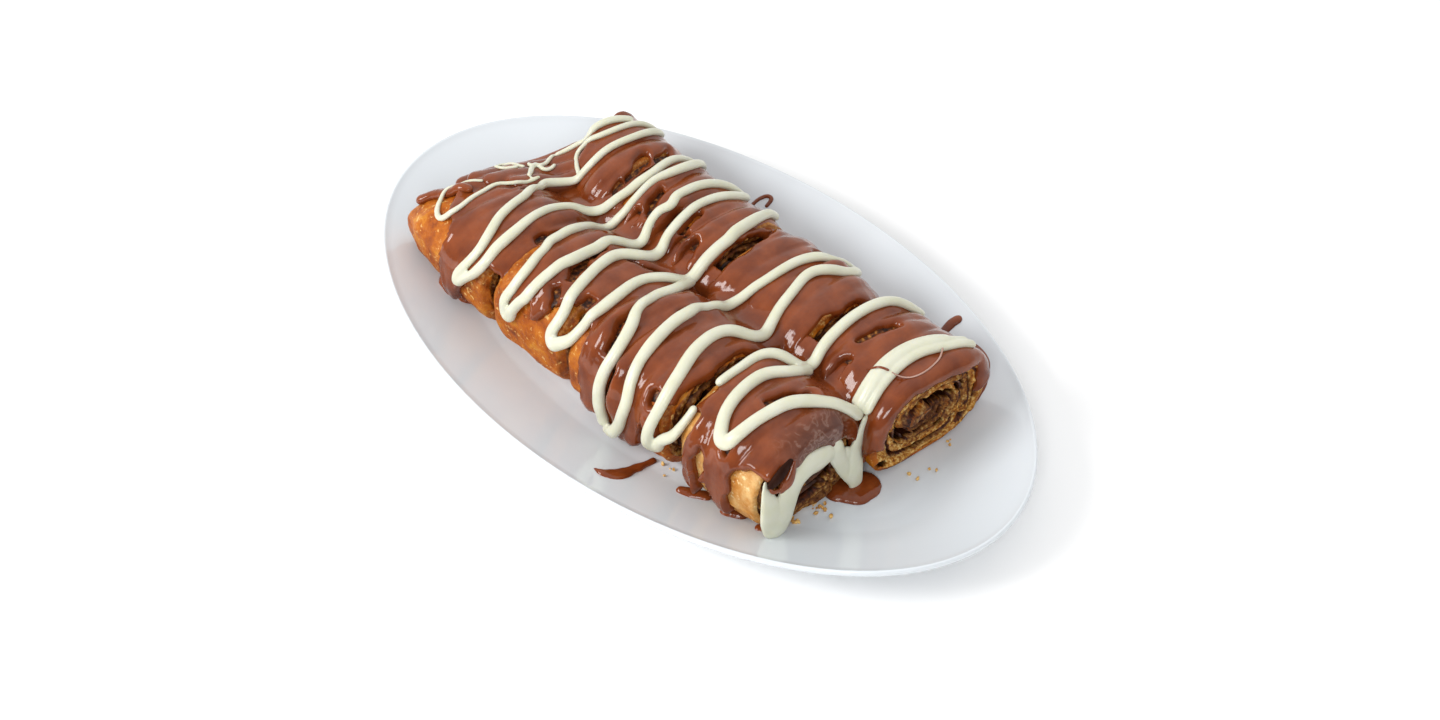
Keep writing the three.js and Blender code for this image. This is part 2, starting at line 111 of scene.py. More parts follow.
@dataclass(frozen=True)
class Outline:
    """The rounded outline of a roll, or of a row of rolls, as it changes along x."""

    x: tuple[float, ...]
    near: tuple[float, ...]
    far: tuple[float, ...]
    top: tuple[float, ...]
    lean: tuple[float, ...]

    def section(self, x: Array) -> tuple[Array, Array, Array, Array]:
        """The section at x.

        Args:
            x: places along the row.

        Returns:
            Its middle, half width, top and lean.
        """
        near = np.interp(x, self.x, self.near)
        far = np.interp(x, self.x, self.far)
        top = np.interp(x, self.x, self.top)
        return (near + far) / 2, (far - near) / 2, top, np.interp(x, self.x, self.lean)

    def place(self, x: Array, degrees: Array, share: Array = 1.0, grow: Array = 0.0) -> Array:
        """Points round the roll.

        Args:
            x: places along the row, before the lean.
            degrees: angles round the roll.
            share: how far out from the middle, as a share.
            grow: how much further out, in mm.

        Returns:
            The points, one row of three for each place.
        """
        middle, half, top, lean = self.section(x)
        turn = np.radians(degrees)
        power = np.where(np.sin(turn) > 0, POWER_ABOVE, POWER_BELOW)
        across = np.sign(np.cos(turn)) * np.abs(np.cos(turn)) ** (2 / power)
        up = np.sign(np.sin(turn)) * np.abs(np.sin(turn)) ** (2 / power)
        y = middle + across * (half * share + grow)
        leant = x + lean * (y - middle)
        height = (top + FLOOR) / 2
        z = height + up * ((top - FLOOR) / 2 * share + grow)
        lift = plate_top(leant, middle + across * half) - WELL[2]
        low = np.clip((top - z) / (top - FLOOR), 0, 1)
        return np.stack(np.broadcast_arrays(leant, y, z + lift * low), axis=-1)


def smooth_max(a: Array, b: Array, softness: float) -> Array:
    """The larger of two values, rounded where they cross."""
    return softness * np.logaddexp(a / softness, b / softness)


class Noise:
    """Smooth random values over a plane."""

    SIZE = 64

    def __init__(self, seed: int) -> None:
        """Draws the lattice of values."""
        self.table = np.random.default_rng(seed).uniform(-1, 1, (self.SIZE, self.SIZE))

    def at(self, u: Array, v: Array) -> Array:
        """The value at places on the plane, from -1 to 1.

        Args:
            u: places along the first axis, one lattice step apart at 1.
            v: places along the second axis.

        Returns:
            The values.
        """
        u, v = np.broadcast_arrays(np.asarray(u, float), np.asarray(v, float))
        i, j = np.floor(u).astype(int), np.floor(v).astype(int)
        a, b = u - i, v - j
        a, b = a * a * (3 - 2 * a), b * b * (3 - 2 * b)
        i0, i1, j0, j1 = i % self.SIZE, (i + 1) % self.SIZE, j % self.SIZE, (j + 1) % self.SIZE
        table = self.table
        low = table[i0, j0] * (1 - a) + table[i1, j0] * a
        high = table[i0, j1] * (1 - a) + table[i1, j1] * a
        return low * (1 - b) + high * b


V = None  # a side that lies against the other row


def outline_of(stations: Sequence[tuple], lean: tuple[float, float]) -> Outline:
    """An outline from stations along x.

    Args:
        stations: x, near side, far side and top of each; V stands for the other row's side.
        lean: how far the two ends lean, x for each mm of y.

    Returns:
        The outline.
    """
    xs = tuple(float(s[0]) for s in stations)
    near = tuple(float(valley_at(s[0]) + GAP) if s[1] is V else s[1] for s in stations)
    far = tuple(float(valley_at(s[0]) - GAP) if s[2] is V else s[2] for s in stations)
    leans = tuple(float(a) for a in np.interp(xs, (xs[0], xs[-1]), lean))
    return Outline(xs, near, far, tuple(float(s[3]) for s in stations), leans)


ROLLS = {
    "A1": outline_of([(-108, -44, -3, 33), (-95, -49, V, 40), (-78, -51.5, V, 43.5), (-57, -52.5, V, 44.5)],
                     (0.45, 0.06)),
    "A2": outline_of([(-54.5, -53, V, 43.5), (-12.5, -53.5, V, 45)], (0.06, 0.08)),
    "A3": outline_of([(-10, -53.5, V, 44.5), (43.5, -54.5, V, 45.5)], (0.08, 0.05)),
    "A4": outline_of([(47, -53.5, V, 46), (68, -55, V, 46.5), (88, -54.5, V, 44.5)], (0.05, 0.02)),
    "B1": outline_of([(-91, 23, 50.5, 42.5), (-76, 11, 52, 45), (-56, V, 51.5, 46)], (0.1, -0.05)),
    "B2": outline_of([(-53, V, 50, 45), (0.5, V, 49, 45.5)], (-0.05, 0.06)),
    "B3": outline_of([(4.5, V, 48.5, 45.5), (53, V, 47.5, 44.5)], (0.06, 0.04)),
    "B4": outline_of([(57, V, 48.5, 45.5), (78, V, 49, 46), (98.5, V, 49, 45)], (0.04, 0.1)),
}


def row_outline(row: Row) -> Outline:
    """The outline of a whole row, from its four rolls."""
    rolls = [roll for name, roll in ROLLS.items() if name[0] == row.value]
    join = lambda part: tuple(v for roll in rolls for v in getattr(roll, part))
    return Outline(join("x"), join("near"), join("far"), join("top"), join("lean"))


ROWS = {row: row_outline(row) for row in Row}


# ------------------------------------------------------------------ meshes


def deselect() -> None:
    """Leaves edit mode and clears the selection."""
    if bpy.context.object and bpy.context.object.mode != "OBJECT":
        bpy.ops.object.mode_set(mode="OBJECT")
    bpy.ops.object.select_all(action="DESELECT")


def activate(obj: bpy.types.Object) -> None:
    """Makes one object the only selected and active one."""
    deselect()
    obj.select_set(True)
    bpy.context.view_layer.objects.active = obj


def apply_modifier(obj: bpy.types.Object, kind: str, **settings: object) -> None:
    """Adds a modifier and applies it.

    Args:
        obj: the piece.
        kind: the modifier's type.
        settings: its settings.
    """
    activate(obj)
    modifier = obj.modifiers.new(kind.title(), kind)
    for name, value in settings.items():
        setattr(modifier, name, value)
    bpy.ops.object.modifier_apply(modifier=modifier.name)


def shade_smooth(obj: bpy.types.Object) -> None:
    """Shades every face smooth."""
    obj.data.polygons.foreach_set("use_smooth", [True] * len(obj.data.polygons))


def mesh_piece(name: str, points: Array, faces: Array) -> bpy.types.Object:
    """A new piece from points in mm and its faces.

    Args:
        name: the piece's name.
        points: one row of three for each vertex.
        faces: vertex numbers, one row for each face, in one array or in a list of arrays.

    Returns:
        The object.
    """
    mesh = bpy.data.meshes.new(name)
    groups = faces if isinstance(faces, list) else [faces]
    mesh.from_pydata((points * MM).tolist(), [], [face for g in groups for face in g.tolist()])
    mesh.validate()
    obj = bpy.data.objects.new(name, mesh)
    bpy.context.scene.collection.objects.link(obj)
    shade_smooth(obj)
    return obj


def lofted(name: str, points: Array, capped: bool = True) -> bpy.types.Object:
    """A closed piece through rings of points that match one to one.

    Args:
        name: the piece's name.
        points: rings, places round each ring, and three.
        capped: whether the first and last rings are closed with a fan.

    Returns:
        The object.
    """
    rings, around = points.shape[:2]
    i, j = np.meshgrid(np.arange(rings - 1), np.arange(around), indexing="ij")
    nxt = (j + 1) % around
    quads = np.stack([i * around + j, i * around + nxt, (i + 1) * around + nxt, (i + 1) * around + j], -1)
    vertices = points.reshape(-1, 3)
    groups = [quads.reshape(-1, 4)]
    if capped:
        middles = np.stack([points[0].mean(0), points[-1].mean(0)])
        vertices = np.concatenate([vertices, middles])
        k = np.arange(around)
        n = (k + 1) % around
        first, last = len(vertices) - 2, len(vertices) - 1
        base = (rings - 1) * around
        groups.append(np.stack([n, k, np.full(around, first)], -1))
        groups.append(np.stack([base + k, base + n, np.full(around, last)], -1))
    obj = mesh_piece(name, vertices, groups)
    outward(obj)
    return obj


def outward(obj: bpy.types.Object) -> None:
    """Turns the faces of a closed piece outwards, judged by the volume that they enclose."""
    activate(obj)
    bpy.ops.object.mode_set(mode="EDIT")
    bpy.ops.mesh.select_all(action="SELECT")
    bpy.ops.mesh.normals_make_consistent(inside=False)
    bpy.ops.object.mode_set(mode="OBJECT")
    if enclosed_volume(obj) < 0:
        bpy.ops.object.mode_set(mode="EDIT")
        bpy.ops.mesh.flip_normals()
        bpy.ops.object.mode_set(mode="OBJECT")


def enclosed_volume(obj: bpy.types.Object) -> float:
    """The volume inside a closed piece, which is negative where its faces point inwards."""
    mesh = obj.data
    mesh.calc_loop_triangles()
    places = np.empty(len(mesh.vertices) * 3)
    mesh.vertices.foreach_get("co", places)
    triangles = np.empty(len(mesh.loop_triangles) * 3, dtype=np.int32)
    mesh.loop_triangles.foreach_get("vertices", triangles)
    corners = places.reshape(-1, 3)[triangles.reshape(-1, 3)]
    return float(np.sum(corners[:, 0] * np.cross(corners[:, 1], corners[:, 2])) / 6)


def join(pieces: Sequence[bpy.types.Object], name: str) -> bpy.types.Object:
    """Joins pieces into one.

    Args:
        pieces: the pieces; the first one stays.
        name: the joined piece's name.

    Returns:
        The joined piece.
    """
    deselect()
    for piece in pieces:
        piece.select_set(True)
    bpy.context.view_layer.objects.active = pieces[0]
    if len(pieces) > 1:
        bpy.ops.object.join()
    pieces[0].name = name
    pieces[0].data.name = name
    return pieces[0]


def place_in_mesh(obj: bpy.types.Object) -> None:
    """Puts the object at the origin, unturned and unscaled, with its place in its mesh."""
    activate(obj)
    bpy.ops.object.transform_apply(location=True, rotation=True, scale=True)


def mark(obj: bpy.types.Object, name: str, values: Array) -> None:
    """Keeps a value for each vertex, for a material to read."""
    attribute = obj.data.attributes.new(name, "FLOAT", "POINT")
    attribute.data.foreach_set("value", np.asarray(values, np.float32).ravel())


# ------------------------------------------------------------------ finishes


def srgb(code: str) -> tuple[float, float, float, float]:
    """An sRGB hex colour as linear red, green, blue and alpha."""
    parts = [int(code[i : i + 2], 16) / 255 for i in (1, 3, 5)]
    linear = [c / 12.92 if c <= 0.04045 else ((c + 0.055) / 1.055) ** 2.4 for c in parts]
    return (*linear, 1.0)


def add_node(tree: bpy.types.NodeTree, kind: str, links: dict | None = None,
             **settings: object) -> bpy.types.Node:
    """Adds a node with its settings and links.

    Args:
        tree: the material's tree.
        kind: the node's type.
        links: input name or number to the socket, or the value, that it takes.
        settings: the node's own settings.

    Returns:
        The node.
    """
    node = tree.nodes.new(kind)
    for name, value in settings.items():
        setattr(node, name, value)
    for name, value in (links or {}).items():
        if isinstance(value, bpy.types.NodeSocket):
            tree.links.new(value, node.inputs[name])
        else:
            node.inputs[name].default_value = value
    return node


def per_size(millimetres: float) -> float:
    """The scale of a pattern on Object coordinates whose features are that many mm apart."""
    return 1 / (millimetres * MM)


def ramp(tree: bpy.types.NodeTree, factor: bpy.types.NodeSocket,
         stops: Sequence[tuple]) -> bpy.types.NodeSocket:
    """A colour ramp.

    Args:
        tree: the material's tree.
        factor: what runs along the ramp.
        stops: place and hex colour of each stop.

    Returns:
        The colour socket.
    """
    node = add_node(tree, "ShaderNodeValToRGB", {"Fac": factor})
    elements = node.color_ramp.elements
    while len(elements) < len(stops):
        elements.new(0.5)
    for element, (place, code) in zip(elements, stops):
        element.position = place
        element.color = srgb(code)
    return node.outputs["Color"]


def start_material(name: str, **shader: object) -> tuple[bpy.types.Material, bpy.types.NodeTree,
                                                         bpy.types.Node]:
    """A new material with its shader's uniform settings.

    Args:
        name: the material's name.
        shader: settings of the Principled shader, with spaces as underscores.

    Returns:
        The material, its tree and its shader.
    """
    material = bpy.data.materials.new(name)
    material.use_nodes = True
    tree = material.node_tree
    node = tree.nodes["Principled BSDF"]
    for key, value in shader.items():
        node.inputs[key.replace("_", " ")].default_value = value
    return material, tree, node


def noise_on(tree: bpy.types.NodeTree, size: float, detail: float = 2.0, **links: object) -> bpy.types.Node:
    """Noise on Object coordinates with features of that many mm."""
    place = add_node(tree, "ShaderNodeTexCoord").outputs["Object"]
    values = {"Vector": place, "Scale": per_size(size), "Detail": detail}
    values.update(links)
    return add_node(tree, "ShaderNodeTexNoise", values)


def mixed(tree: bpy.types.NodeTree, factor: object, first: object, second: object,
          blend: str = "MIX") -> bpy.types.NodeSocket:
    """Two colours mixed by a factor."""
    node = add_node(tree, "ShaderNodeMix", data_type="RGBA", blend_type=blend)
    for socket, value in ((node.inputs[0], factor), (node.inputs[6], first), (node.inputs[7], second)):
        if isinstance(value, bpy.types.NodeSocket):
            tree.links.new(value, socket)
        else:
            socket.default_value = value
    return node.outputs[2]


def bumped(tree: bpy.types.NodeTree, shader: bpy.types.Node, layers: Sequence[tuple]) -> None:
    """Adds bumps to a shader.

    Args:
        tree: the material's tree.
        shader: the shader that takes them.
        layers: height socket and depth in mm of each layer.
    """
    normal = None
    for height, depth in layers:
        links = {"Height": height, "Distance": depth * MM, "Strength": 1.0}
        if normal is not None:
            links["Normal"] = normal
        normal = add_node(tree, "ShaderNodeBump", links).outputs["Normal"]
    tree.links.new(normal, shader.inputs["Normal"])


@dataclass(frozen=True)
class Porcelain:
    """Glazed white porcelain: a clear hard gloss over a cool white body, faintly uneven."""

    name: str = "glazed_porcelain"
    white: str = "#d8dde1"
    shade: str = "#d2d8dd"

    def make(self) -> bpy.types.Material:
        """Makes the material."""
        material, tree, shader = start_material(self.name, Roughness=0.16, IOR=1.5, Coat_Weight=0.3,
                                                Coat_Roughness=0.05)
        cloud = noise_on(tree, 40.0).outputs["Fac"]
        colour = mixed(tree, cloud, srgb(self.white), srgb(self.shade))
        tree.links.new(colour, shader.inputs["Base Color"])
        bumped(tree, shader, [(noise_on(tree, 14.0, 1.0).outputs["Fac"], 0.05)])
        return material


@dataclass(frozen=True)
class PouredChocolate:
    """Melted milk chocolate: a smooth wet gloss, with slow marbling and fine streaks."""

    name: str = "milk_chocolate"
    light: str = "#823f1b"
    dark: str = "#6a2f12"
    roughness: float = 0.11

    def make(self) -> bpy.types.Material:
        """Makes the material."""
        material, tree, shader = start_material(self.name, Roughness=self.roughness, IOR=1.45,
                                                Subsurface_Weight=0.06)
        shader.inputs["Subsurface Radius"].default_value = (0.9, 0.4, 0.25)
        shader.inputs["Subsurface Scale"].default_value = 1.0 * MM
        cloud = noise_on(tree, 9.0, 3.0).outputs["Fac"]
        colour = ramp(tree, cloud, [(0.35, self.dark), (0.65, self.light)])
        wisps = noise_on(tree, 5.0, 4.0, Distortion=1.2).outputs["Fac"]
        smeared = ramp(tree, wisps,
                       [(0.40, "#4a261a"), (0.52, "#5c3527"), (0.58, "#7d6156"), (0.64, "#54301f")])
        marbled = add_node(tree, "ShaderNodeAttribute", attribute_name="marbled").outputs["Fac"]
        tree.links.new(mixed(tree, marbled, colour, smeared), shader.inputs["Base Color"])
        place = add_node(tree, "ShaderNodeTexCoord").outputs["Object"]
        along = add_node(tree, "ShaderNodeMapping", {"Vector": place, "Scale": (1.0, 0.12, 0.12)}).outputs[0]
        flow = noise_on(tree, 2.6, 2.0, Vector=along).outputs["Fac"]
        bumped(tree, shader, [(noise_on(tree, 6.0, 2.0).outputs["Fac"], 0.3), (flow, 0.22)])
        return material


@dataclass(frozen=True)
class WhiteChocolate:
    """Melted white chocolate: ivory, satin, with light passing a little way in."""

    name: str = "white_chocolate"
    light: str = "#d7d7c9"
    dark: str = "#c9c9ac"

    def make(self) -> bpy.types.Material:
        """Makes the material."""
        material, tree, shader = start_material(self.name, Roughness=0.3, IOR=1.46, Subsurface_Weight=0.25)
        shader.inputs["Subsurface Radius"].default_value = (1.0, 0.8, 0.5)
        shader.inputs["Subsurface Scale"].default_value = 1.2 * MM
        cloud = noise_on(tree, 6.0).outputs["Fac"]
        tree.links.new(mixed(tree, cloud, srgb(self.light), srgb(self.dark)), shader.inputs["Base Color"])
        bumped(tree, shader, [(noise_on(tree, 2.5).outputs["Fac"], 0.06)])
        return material


@dataclass(frozen=True)
class BrownedCrepe:
    """A pan-fried crepe: golden with darker browned spots and pale flecks, dry and finely pitted.

    The vertex values say how browned it is, 1 on the outside and falling off across the edge of a layer;
    where butter and chocolate have gone into the crumb, raised also as painted shade on the last front cut;
    where chocolate covers it, raised also as painted shade down holes and on that cut; and a painted shade,
    near black, deep inside holes and in the gaps between layers.
    """

    name: str = "browned_crepe"
    crust: tuple[str, str, str, str] = ("#6e3004", "#994a08", "#b2620f", "#c98a2c")
    fleck: str = "#dcb06a"

    def make(self) -> bpy.types.Material:
        """Makes the material."""
        material, tree, shader = start_material(self.name, Roughness=0.5, IOR=1.42, Subsurface_Weight=0.06)
        shader.inputs["Subsurface Radius"].default_value = (1.0, 0.5, 0.2)
        shader.inputs["Subsurface Scale"].default_value = 1.0 * MM
        patches = noise_on(tree, 9.0, 6.0, Roughness=0.68).outputs["Fac"]
        crust = ramp(tree, patches, list(zip((0.32, 0.44, 0.56, 0.70), self.crust)))
        flecks = noise_on(tree, 2.4, 4.0, Roughness=0.6).outputs["Fac"]
        fleck = add_node(tree, "ShaderNodeMapRange", {0: flecks, 1: 0.60, 2: 0.68}).outputs[0]
        crust = mixed(tree, fleck, crust, srgb(self.fleck))
        pits = noise_on(tree, 1.6, 4.0, Roughness=0.65).outputs["Fac"]
        crumb = ramp(tree, pits, [(0.34, "#6a3408"), (0.45, "#a0621a"), (0.54, "#c48f40"), (0.65, "#e2c482")])
        wet = ramp(tree, pits, [(0.34, "#3e1804"), (0.46, "#703c12"), (0.57, "#926128"), (0.68, "#bd9a5e")])
        cocoa_and_shade = ramp(tree, pits, [(0.32, "#1c0803"), (0.50, "#431b08"), (0.70, "#6c3414")])
        colour = mixed(tree, self.value(tree, "soaked_and_shade"), crumb, wet)
        colour = mixed(tree, self.value(tree, "cocoa_and_shade"), colour, cocoa_and_shade)
        colour = mixed(tree, self.value(tree, "browned"), colour, crust)
        # Painted shade: near black deep in holes and in the gaps between layers, where the shine is also
        # taken away.
        colour = mixed(tree, self.value(tree, "painted_recess_shade"), colour, srgb("#1c0a04"))
        shine = add_node(tree, "ShaderNodeMapRange",
                         {0: self.value(tree, "painted_recess_shade"), 1: 0.0, 2: 0.8, 3: 0.3, 4: 0.0})
        tree.links.new(shine.outputs[0], shader.inputs["Specular IOR Level"])
        tree.links.new(colour, shader.inputs["Base Color"])
        bumped(tree, shader, [(noise_on(tree, 4.5, 3.0).outputs["Fac"], 0.35),
                              (noise_on(tree, 1.0, 3.0).outputs["Fac"], 0.25)])
        return material

    @staticmethod
    def value(tree: bpy.types.NodeTree, name: str) -> bpy.types.NodeSocket:
        """A vertex value."""
        return add_node(tree, "ShaderNodeAttribute", attribute_name=name).outputs["Fac"]


@dataclass(frozen=True)
class SoakedChocolateAndShade:
    """A thin dark coat of chocolate that has gone into the crepe, seen down the slits in the sauce; its
    near-black patches are painted shade down the narrow slits.
    """

    name: str = "soaked_chocolate_and_shade"

    def make(self) -> bpy.types.Material:
        """Makes the material."""
        material, tree, shader = start_material(self.name, Roughness=0.4, IOR=1.46, Specular_IOR_Level=0.25)
        patches = noise_on(tree, 1.8, 4.0).outputs["Fac"]
        colour = ramp(tree, patches,
                      [(0.38, "#200c05"), (0.52, "#4a240f"), (0.62, "#7c4a20"), (0.70, "#a4702f")])
        tree.links.new(colour, shader.inputs["Base Color"])
        bumped(tree, shader, [(noise_on(tree, 2.2, 3.0).outputs["Fac"], 0.5)])
        return material


@dataclass(frozen=True)
class ShadedChocolate:
    """Chocolate down a narrow fold, where hardly any light comes: nearly black, with no shine."""

    name: str = "shaded_chocolate"

    def make(self) -> bpy.types.Material:
        """Makes the material."""
        material, tree, shader = start_material(self.name, Roughness=0.6, IOR=1.46, Specular_IOR_Level=0.1)
        cloud = noise_on(tree, 3.0).outputs["Fac"]
        tree.links.new(mixed(tree, cloud, srgb("#1a0903"), srgb("#34170a")), shader.inputs["Base Color"])
        return material


@dataclass(frozen=True)
class ChocolateFilling:
    """Chocolate spread soaked into crumb: dark, uneven, half gloss."""

    name: str = "chocolate_filling"

    def make(self) -> bpy.types.Material:
        """Makes the material."""
        material, tree, shader = start_material(self.name, Roughness=0.42, IOR=1.46)
        patches = noise_on(tree, 3.0, 4.0).outputs["Fac"]
        colour = ramp(tree, patches,
                      [(0.3, "#2a120a"), (0.5, "#4c2614"), (0.62, "#6e4124"), (0.76, "#936339")])
        tree.links.new(colour, shader.inputs["Base Color"])
        bumped(tree, shader, [(noise_on(tree, 1.8, 3.0).outputs["Fac"], 0.6)])
        return material


@dataclass(frozen=True)
class Crumb:
    """Loose crumbs of browned crepe."""

    name: str = "crepe_crumb"

    def make(self) -> bpy.types.Material:
        """Makes the material."""
        material, tree, shader = start_material(self.name, Roughness=0.7)
        tint = noise_on(tree, 2.0).outputs["Fac"]
        tree.links.new(ramp(tree, tint, [(0.35, "#b9803a"), (0.65, "#e3bb72")]), shader.inputs["Base Color"])
        return material


@dataclass(frozen=True)
class Backdrop:
    """Plain pale paper under the plate."""

    name: str = "pale_floor"
    colour: str = "#fbfbfb"

    def make(self) -> bpy.types.Material:
        """Makes the material."""
        material, tree, shader = start_material(self.name, Roughness=0.9)
        cloud = noise_on(tree, 300.0).outputs["Fac"]
        tree.links.new(mixed(tree, cloud, srgb(self.colour), srgb("#f8f8f8")), shader.inputs["Base Color"])
        return material


# ------------------------------------------------------------------ the rolls


@dataclass(frozen=True)
class Hollow:
    """A hole in a cut end: its middle, its half sizes along and across, and its turn in degrees."""

    y: float
    z: float
    long: float
    short: float
    turn: float
    deep: float = 6.0


@dataclass
class CrepeRoll:
    """One roll: a crepe rolled up around chocolate filling, with its layers open at both ends."""

    name: str
    rounding: tuple[float, float] = (2.5, 2.5)  # mm over which the left and right ends round off
    hollows: tuple[Hollow, ...] = ()  # holes in the right end
    open_end: bool = False  # whether the right end is in the open, not down a gap
    turns: float = 4.5
    sheet: float = 2.2
    pitch: float = 3.1
    start: float = -70.0  # where the sheet's free edge lies, under the roll
    around: int = 220
    spacing: float = 0.9
    radial: int = 48
    groove: float = 2.6  # how deep the filling lies back between two layers
    outline: Outline = field(init=False)
    seed: int = field(init=False)

    def __post_init__(self) -> None:
        """Looks up the roll's outline."""
        self.outline = ROLLS[self.name]
        self.seed = 10 * (1 + list(ROLLS).index(self.name))
        if self.open_end:
            self.around, self.radial = 320, 80

    def inwards(self, turned: Array) -> Array:
        """How far inwards the sheet has come after some turns, in mm."""
        return np.where(turned < 1, 0.0, turned) * self.pitch

    def cut_end(self, degrees: Array, share: Array, size: float, side: int) -> dict[str, Array]:
        """The layers seen at a cut end.

        Args:
            degrees: angles round the roll.
            share: how far out from the middle, as a share.
            size: the roll's mean radius.
            side: 0 for the left end and 1 for the right.

        Returns:
            How far each place stands out, how browned, wet and chocolate-covered it is, and a near-black
            painted shade where it lies deep; on the last front cut the wetness and the chocolate cover are
            raised as painted shade.
        """
        lump, fine, grit = (Noise(self.seed + 3 * side + i) for i in range(3))
        deep = (1 - share) * size
        swirl = lump.at(degrees / 38, share * 3.0) * 1.5 + lump.at(degrees / 15 + 5, share * 7 + 9) * 0.35
        deep = deep + swirl * np.clip(deep / 4, 0, 1)
        part = np.mod(degrees - self.start, 360) / 360
        layer = np.zeros_like(deep)
        near, far = np.zeros_like(deep), np.full_like(deep, self.pitch * 2)
        for turn in range(6):
            begins = self.inwards(turn + part)
            inside = deep >= begins
            near = np.where(inside, begins, near)
            far = np.where(inside, self.inwards(turn + 1 + part), far)
            layer = np.where(inside, turn, layer)
        thick = np.minimum(self.sheet * (1 + 0.35 * lump.at(degrees / 30 + 40, layer * 7.3)),
                           far - near - 0.3)
        thick = np.where(layer == 0, np.maximum(thick, far - near - 1.6), thick)
        across = (deep - near) / thick
        along_gap = np.clip((deep - near - thick) / np.maximum(far - near - thick, 0.1), 0, 1)
        gap = across > 1
        arc = degrees * (share * size + 2) / 57.3
        grain = fine.at(arc / 2.6, deep / 2.1) * 0.9 + fine.at(arc / 1.2 + 30, deep / 1.1) * 0.7
        crumb = grain + grit.at(arc / 0.75, deep / 0.7) * 0.45
        ledge = 0.8 * fine.at(arc / 7, layer * 5.1) - 0.5 * (2 * np.clip(across, 0, 1) - 1) ** 2
        depth = self.groove * np.clip(0.6 + 1.1 * lump.at(degrees / 22 + 11, layer * 3.3), 0.1, 1.6)
        out = np.where(gap, -depth * np.sqrt(np.sin(np.pi * along_gap)) + 0.3 * crumb, ledge + 0.6 * crumb)
        core = np.clip((deep - self.pitch * self.turns) / 2, 0, 1)
        out = out - 1.2 * core
        brown = np.exp(-((across / 0.16) ** 2)) * np.where(layer == 0, 1.0, 0.45)
        soaked_and_shade = np.clip(0.05 + 0.24 * layer + 0.5 * lump.at(arc / 7, deep / 4 + 20), 0, 1)
        cocoa_and_shade = np.where(gap, 1.0, np.clip((across - 0.8) / 0.2, 0, 1) * 0.6)
        cocoa_and_shade = np.maximum(cocoa_and_shade, np.clip(-0.45 - grain, 0, 1))
        smear = grit.at(arc / 3.1 + 17, deep / 2.6)
        # Ends that face another roll across a gap, and every left end, are made wetter and darker all over.
        if side == 0 or not self.open_end:
            soaked_and_shade = np.maximum(soaked_and_shade, 0.6)
            cocoa_and_shade = np.maximum(cocoa_and_shade, np.clip(0.75 - 0.6 * grain, 0, 1))
        # The last front cut lies under the overhang of the white drape: it is made wetter and darker all
        # over, painted shade.
        if self.name == "A4":
            soaked_and_shade = np.maximum(soaked_and_shade, 0.7)
            cocoa_and_shade = np.maximum(cocoa_and_shade, np.clip(0.45 - 0.7 * grain, 0, 1))
        cocoa_and_shade = np.maximum(cocoa_and_shade, np.clip(smear * 1.6 - np.clip(2 - layer, 0.6, 1), 0, 1))
        # Painted shade, near black, where the cut lies deep in the gaps between layers.
        painted_recess_shade = np.clip((-out - 1.1) / 1.6, 0, 0.8)
        return {"out": out, "browned": brown, "soaked_and_shade": soaked_and_shade, "cocoa_and_shade": np.maximum(cocoa_and_shade, 0.7 * core),
                "painted_recess_shade": painted_recess_shade}

    def dig(self, points: Array, looks: dict[str, Array]) -> None:
        """Deepens the right end at its hollows and darkens them with painted shade, and raises its folds,
        which are hollows below 0.

        Args:
            points: places on the cut.
            looks: the relief and the values of the cut, which are changed.
        """
        for hole in self.hollows:
            turn = math.radians(hole.turn)
            dy, dz = points[..., 1] - hole.y, points[..., 2] - hole.z
            along = (dy * math.cos(turn) + dz * math.sin(turn)) / hole.long
            across = (dz * math.cos(turn) - dy * math.sin(turn)) / hole.short
            inside = np.clip(3.0 - 3.0 * np.sqrt(along**2 + across**2), 0, 1)
            looks["out"] = looks["out"] * (1 - 0.6 * inside) - hole.deep * inside
            # Down a hole the cut is covered with chocolate and darkened to near black, painted shade; a fold
            # gets a lighter chocolate cover.
            looks["cocoa_and_shade"] = np.maximum(looks["cocoa_and_shade"], inside * (1.0 if hole.deep > 0 else 0.55))
            if hole.deep > 0:
                looks["painted_recess_shade"] = np.maximum(looks["painted_recess_shade"], np.clip(inside * 4 - 0.2, 0, 0.96))

    def body(self, name: str) -> bpy.types.Object:
        """The rolled-up sheet as one closed body, with its layers cut into both ends.

        Args:
            name: the piece's name.

        Returns:
            The piece.
        """
        wave, fine = Noise(self.seed), Noise(self.seed + 1)
        first, last = self.outline.x[0], self.outline.x[-1]
        degrees = np.linspace(0, 360, self.around, endpoint=False)[None, :]
        shares = np.linspace(0.03, 1, self.radial)[:, None]
        rows: list[Array] = []
        values: dict[str, list[Array]] = {"browned": [], "soaked_and_shade": [], "cocoa_and_shade": [], "painted_recess_shade": []}
        count = int((last - first) / self.spacing)
        inner = np.linspace(first, last, count)[1:-1, None]
        for side, end in enumerate((first, last)):
            radius = self.rounding[side]
            _, half, top, _ = (float(v) for v in self.outline.section(end))
            size = (half + (top - FLOOR) / 2) / 2 - radius
            looks = self.cut_end(degrees + 0 * shares, shares + 0 * degrees, size, side)
            rim = np.clip((1 - shares) * size / 0.9, 0, 1)
            x = np.full_like(looks["out"], end)
            flat = self.outline.place(x, degrees + 0 * shares, shares, -radius * shares)
            if side:
                self.dig(flat, looks)
            skin = fine.at(degrees / 9, end / 4.5) * 0.3 * shares
            face = self.outline.place(x, degrees + 0 * shares, shares,
                                      -radius * shares + skin - 0.5 * (1 - rim))
            face[..., 0] += (1 if side else -1) * (looks["out"] * np.clip(rim, 0.25, 1) - 0.35 * (1 - rim))
            for key, lists in values.items():
                lists.append(looks[key] if side == 0 else looks[key][::-1])
            rows.append(face if side == 0 else face[::-1])
        x = inner + 0 * degrees
        angle = degrees + 0 * inner
